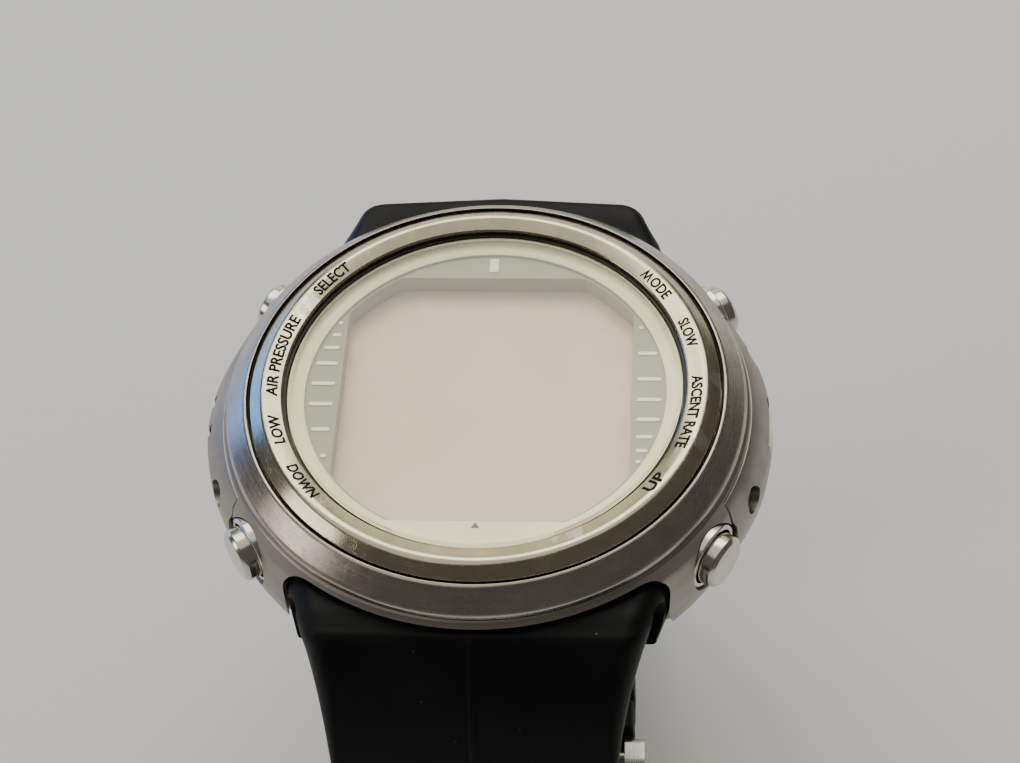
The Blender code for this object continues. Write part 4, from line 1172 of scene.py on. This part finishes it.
def strap_run(side, steps=80):
    """Rows for one strap: flat in the pocket, bent over its edge, then down the loop."""
    narrow = FAR_NARROW if side > 0 else 0.0
    rib_start = FAR_RIB_START if side > 0 else NEAR_RIB_START
    main = loop_stations(side, 0.0, 0.0, 1.0, steps)
    end_y, end_z = abs(main[0][0]), main[0][1]
    edge_y, edge_half = POCKET_YS[-1], POCKET_HALVES[-1]
    rows = []
    for y, half in zip(POCKET_YS, POCKET_HALVES):
        rows.append(((side * y, POCKET_TOP, 0.0, 1.0), half, POCKET_THICK, POCKET_CORNER, 0.0))
    for i in range(1, BLEND_STEPS):
        t = i / BLEND_STEPS
        tilt = math.radians(SHOULDER_START * ease(t))
        z = POCKET_TOP + (end_z - POCKET_TOP) * ease(t) + BLEND_RISE * math.sin(math.pi * t)
        station = (side * (edge_y + (end_y - edge_y) * t), z, side * math.sin(tilt), math.cos(tilt))
        half = edge_half + (STRAP_HALF + STRAP_FLARE - narrow - edge_half) * t
        rows.append((station, half, POCKET_THICK, POCKET_CORNER, 0.0))
    for i, station in enumerate(main):
        t = i / (len(main) - 1)
        half = STRAP_HALF + (STRAP_FLARE - narrow) * math.exp(-STRAP_TAPER * t)
        thick = STRAP_THICK + (ROOT_THICK - STRAP_THICK) * (1 - ease(t / ROOT_LENGTH))
        corner = STRAP_CORNER + ROOT_CORNER * (1 - ease(t / ROOT_CORNER_LENGTH))
        rows.append((station, half, thick, corner, RIB * ease((t - rib_start) / RIB_RUN_IN)))
    return rows


def thin_row(station, half=STRAP_HALF):
    """A row of the strap's thin, plain part."""
    return (station, half, STRAP_THICK, STRAP_CORNER, 0.0)


def fit_to_case(strap, side):
    """Clear the case's core and the two lugs, and drill the pin's way."""
    carve(strap, rod(STRAP_CORE_R, -5, 20, STEPS, "core"))
    for sx in (1, -1):
        lug_room = block((4.4, 6.0, 12.0), (sx * 7.5, side * (PIN_Y - 1.25), PIN_Z - 4.25))
        carve(strap, make_object(lug_room, "room"))
    seat = PIN_HALF - 0.65
    bore = [(0, -20), (1.7, -20), (1.7, -seat), (1.05, -seat), (1.05, seat), (1.7, seat), (1.7, 20), (0, 20)]
    carve(strap, make_object(spun(bore, 40), "bore", along_x(side * PIN_Y, PIN_Z)))


def round_slot(y, z, wide, long, tall):
    """A slot cutter with round ends."""
    bm = block((wide, long, tall), (0, y, z))
    round_edges(bm, edges_along(bm, 2), wide * 0.42, 6)
    return make_object(bm, "slot")


# %% Long strap: down the six o'clock side, over the buckle and up the far side
SLOT_WIDE, SLOT_LENGTH, SLOT_Y, SLOT_PITCH, SLOT_PULL = 3.0, 6.4, -8.0, 9.0, 1.8
RAMP_START, RAMP_LENGTH, RAMP_STEPS = -13.0, 9.0, 20
TAIL_FROM, TAIL_TO = 0.66, 0.97
TIP_STEPS, TIP_DRAW_IN, TIP_CURVE = 11, 4.0, 2.2

rows = strap_run(-1)
while rows[-1][0][0] > RAMP_START - 0.6:
    rows.pop()
places = [(RAMP_START + RAMP_LENGTH * i / RAMP_STEPS, LAYER_STEP * ease(i / RAMP_STEPS))
          for i in range(RAMP_STEPS + 1)]
places += [(y, LAYER_STEP) for y in (0.0, 4.0, 8.0, 12.0)]
added = [(y, LOOP_BOTTOM - shift, 0.0, -1.0) for y, shift in places]
added += loop_stations(1, LAYER_STEP, TAIL_FROM, TAIL_TO, 36)[::-1]
for i, station in enumerate(added):
    from_end = len(added) - 1 - i
    draw_in = 0.0 if from_end >= TIP_STEPS else TIP_DRAW_IN * (1 - from_end / TIP_STEPS) ** TIP_CURVE
    rows.append(thin_row(station, STRAP_HALF - draw_in))
long_strap = make_object(sweep(rows), "long_strap")
fit_to_case(long_strap, -1)
used_slot = round_slot(SLOT_Y + SLOT_PULL / 2, LOOP_BOTTOM, SLOT_WIDE, SLOT_LENGTH + SLOT_PULL, 14)
carve(long_strap, used_slot)
for k in (1, 2):
    outer_layer = LOOP_BOTTOM - LAYER_STEP + STRAP_THICK / 2
    carve(long_strap, round_slot(SLOT_Y + SLOT_PITCH * k, outer_layer, SLOT_WIDE, SLOT_LENGTH, 4.0))
soften(long_strap, 0.22, 50, 3)
dress(long_strap, STRAP_RUBBER, "case", ["strap_long"], 50)
print("long strap faces:", len(long_strap.data.polygons))

# %% Short strap: down the twelve o'clock side to the buckle bar
BAR_WAY_R = 0.9

rows = strap_run(1)
for y in (8.0, 4.0, 0.0, HINGE_Y + 1.2, HINGE_Y + 0.2, HINGE_Y - 0.5, HINGE_Y - 0.9):
    rows.append(thin_row((y, LOOP_BOTTOM, 0.0, -1.0)))
short_strap = make_object(sweep(rows), "short_strap")
fit_to_case(short_strap, 1)
carve(short_strap, make_object(block((3.6, 5.4, 8), (0, HINGE_Y, LOOP_BOTTOM)), "room"))
carve(short_strap, rod(BAR_WAY_R, -20, 20, 40, "bar_way", along_x(HINGE_Y, HINGE_Z)))
soften(short_strap, 0.22, 50, 3)
dress(short_strap, STRAP_RUBBER, "case", ["strap_short"], 50)

# %% Strap pins and buckle bar
PIN_HEAD_R, PIN_R, AXLE_R, AXLE_HALF = 1.45, 0.9, 0.7, 13.2
head = PIN_HALF - 0.5
pin = [(0, -PIN_HALF), (PIN_HEAD_R, -PIN_HALF, 0.15), (PIN_HEAD_R, -head, 0.05), (PIN_R, -head),
       (PIN_R, head), (PIN_HEAD_R, head, 0.05), (PIN_HEAD_R, PIN_HALF, 0.15), (0, PIN_HALF)]
for clock, side in (("12", 1), ("6", -1)):
    obj = make_object(spun(pin, 48), f"pin_{clock}_oclock", along_x(side * PIN_Y, PIN_Z))
    dress(obj, SCREW_STEEL, "case", [f"strap_pin_{clock}"], 40)
axle = [(0, -AXLE_HALF), (AXLE_R, -AXLE_HALF, 0.12), (AXLE_R, AXLE_HALF, 0.12), (0, AXLE_HALF)]
obj = make_object(spun(axle, 40), "buckle_axle", along_x(HINGE_Y, HINGE_Z))
dress(obj, SCREW_STEEL, "case", ["buckle_bar"], 40)

# %% [markdown]
# ## Buckle, tongue and keepers
# The buckle is a bent frame that hangs on the bar with its tongue, and the strap's end runs through
# two rubber loops. A side outline is extruded across the strap for the frame and the tongue, the
# window is cut, and every edge gets a generous polish.

# %% Buckle frame and tongue, as side outlines (Y, Z) about the bar
FRAME_LINE = [(-15.4, -4.2), (-15.6, -2.4), (-14.2, -1.5), (-8.0, 0.4), (-1.4, 1.9), (1.0, 1.9), (1.9, 0.9),
              (1.9, -1.0), (0.8, -1.9), (-1.6, -1.9), (-8.0, -2.4), (-13.2, -4.4), (-14.6, -4.7)]
TONGUE_LINE = [(1.6, 0.9), (0.4, 1.6), (-1.2, 1.3), (-4.0, -0.1), (-9.0, -2.6), (-13.0, -4.85),
               (-16.2, -4.9), (-16.4, -5.6), (-13.2, -6.3), (-8.6, -4.2), (-3.6, -1.5), (-1.2, -1.3),
               (0.6, -1.5), (1.6, -0.9)]


def side_plate(outline, half, rounding):
    """Extrude a side outline across the strap, its corners rounded first."""
    bm = bmesh.new()
    verts = [bm.verts.new((-half, y, z)) for y, z in outline]
    bm.faces.new(verts)
    bmesh.ops.bevel(bm, geom=verts, offset=rounding, offset_type="OFFSET", affect="VERTICES", segments=3,
                    profile=0.5, material=-1)
    out = bmesh.ops.extrude_face_region(bm, geom=bm.faces[:])["geom"]
    fresh = [g for g in out if isinstance(g, bmesh.types.BMVert)]
    bmesh.ops.translate(bm, vec=(2 * half, 0, 0), verts=fresh)
    return bm


FRAME_HALF, TONGUE_HALF = 13.6, 1.05
hinge = Matrix.Translation((0, HINGE_Y, HINGE_Z))
buckle = make_object(side_plate(FRAME_LINE, FRAME_HALF, 0.35), "buckle_frame_fine", hinge)
opening = block((23.0, 18, 14), (0, -3.9, 0))
round_edges(opening, edges_along(opening, 2), 1.2, 6)
carve(buckle, make_object(opening, "window", hinge))
carve(buckle, rod(BAR_WAY_R, -20, 20, 40, "eye", along_x(HINGE_Y, HINGE_Z)))
soften(buckle, 0.3, 40, 4)
dress(buckle, BUCKLE_STEEL, "buckle", ["buckle_frame"], 42)

tongue = make_object(side_plate(TONGUE_LINE, TONGUE_HALF, 0.2), "tongue_fine", hinge)
carve(tongue, rod(BAR_WAY_R, -20, 20, 40, "eye", along_x(HINGE_Y, HINGE_Z)))
soften(tongue, 0.16, 40, 3)
dress(tongue, BUCKLE_STEEL, "tongue", ["buckle_tongue"], 42)

# %% Keepers
KEEPER_WALL, KEEPER_LENGTH, KEEPER_ROOM = 1.3, 3.4, 0.3


def keeper(y, name, body, node):
    """A moulded loop: an outer block with round edges, and the strap's way cut through."""
    high = LOOP_BOTTOM + STRAP_THICK + KEEPER_ROOM
    low = LOOP_BOTTOM - LAYER_STEP - KEEPER_ROOM
    wide = 2 * STRAP_HALF + 2 * KEEPER_ROOM
    middle = (0, y, (high + low) / 2)
    outer = block((wide + 2 * KEEPER_WALL, KEEPER_LENGTH, high - low + 2 * KEEPER_WALL), middle)
    round_edges(outer, edges_along(outer, 1), 1.1, 6)
    band = make_object(outer, name)
    carve(band, make_object(block((wide, 8, high - low), middle), "inside"))
    soften(band, 0.35, 50, 3)
    dress(band, STRAP_RUBBER, body, [node], 50)


keeper(0.9, "keeper_moulded", "case", "keeper_fixed")
keeper(5.6, "keeper_loose", "loose_keeper", "keeper_free")
print("strap parts done")

# %% [markdown]
# ## The pieces inside
# The module, battery, springs, seals and sensor stay as the frame's own solids. They are hidden in
# normal use, but each gets a worked material so that a cutaway view reads well.

# %% Materials for the carried-over nodes
INSIDE = {"white_plastic": WHITE_PLASTIC, "gasket_rubber": SEAL_RUBBER, "ferrite": FERRITE,
          "circuit_green": BOARD_GREEN, "brass": BRASS, "spring_steel": CELL_STEEL,
          "button_steel": SCREW_STEEL, "satin_steel": CASE_STEEL, "polished_steel": BUTTON_STEEL}
replaced = {n for obj in made for n in obj.get("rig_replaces", [])}
slots_of = {}
for row in frame["record"].get("materials", []):
    for node in row.get("nodes", []):
        slots_of[node] = row["slot"]
kept_nodes = sorted(set(frame["nodes"]) - replaced)
for name in kept_nodes:
    obj = frame["nodes"][name]
    known = slots_of.get(name) or (obj.data.materials[0].name if obj.data.materials else "")
    chosen = next((mat for slot, mat in INSIDE.items() if known.startswith(slot)), CELL_STEEL)
    obj.data.materials.clear()
    obj.data.materials.append(chosen)
print("kept as they are:", kept_nodes)

print("pieces made:", len(made))
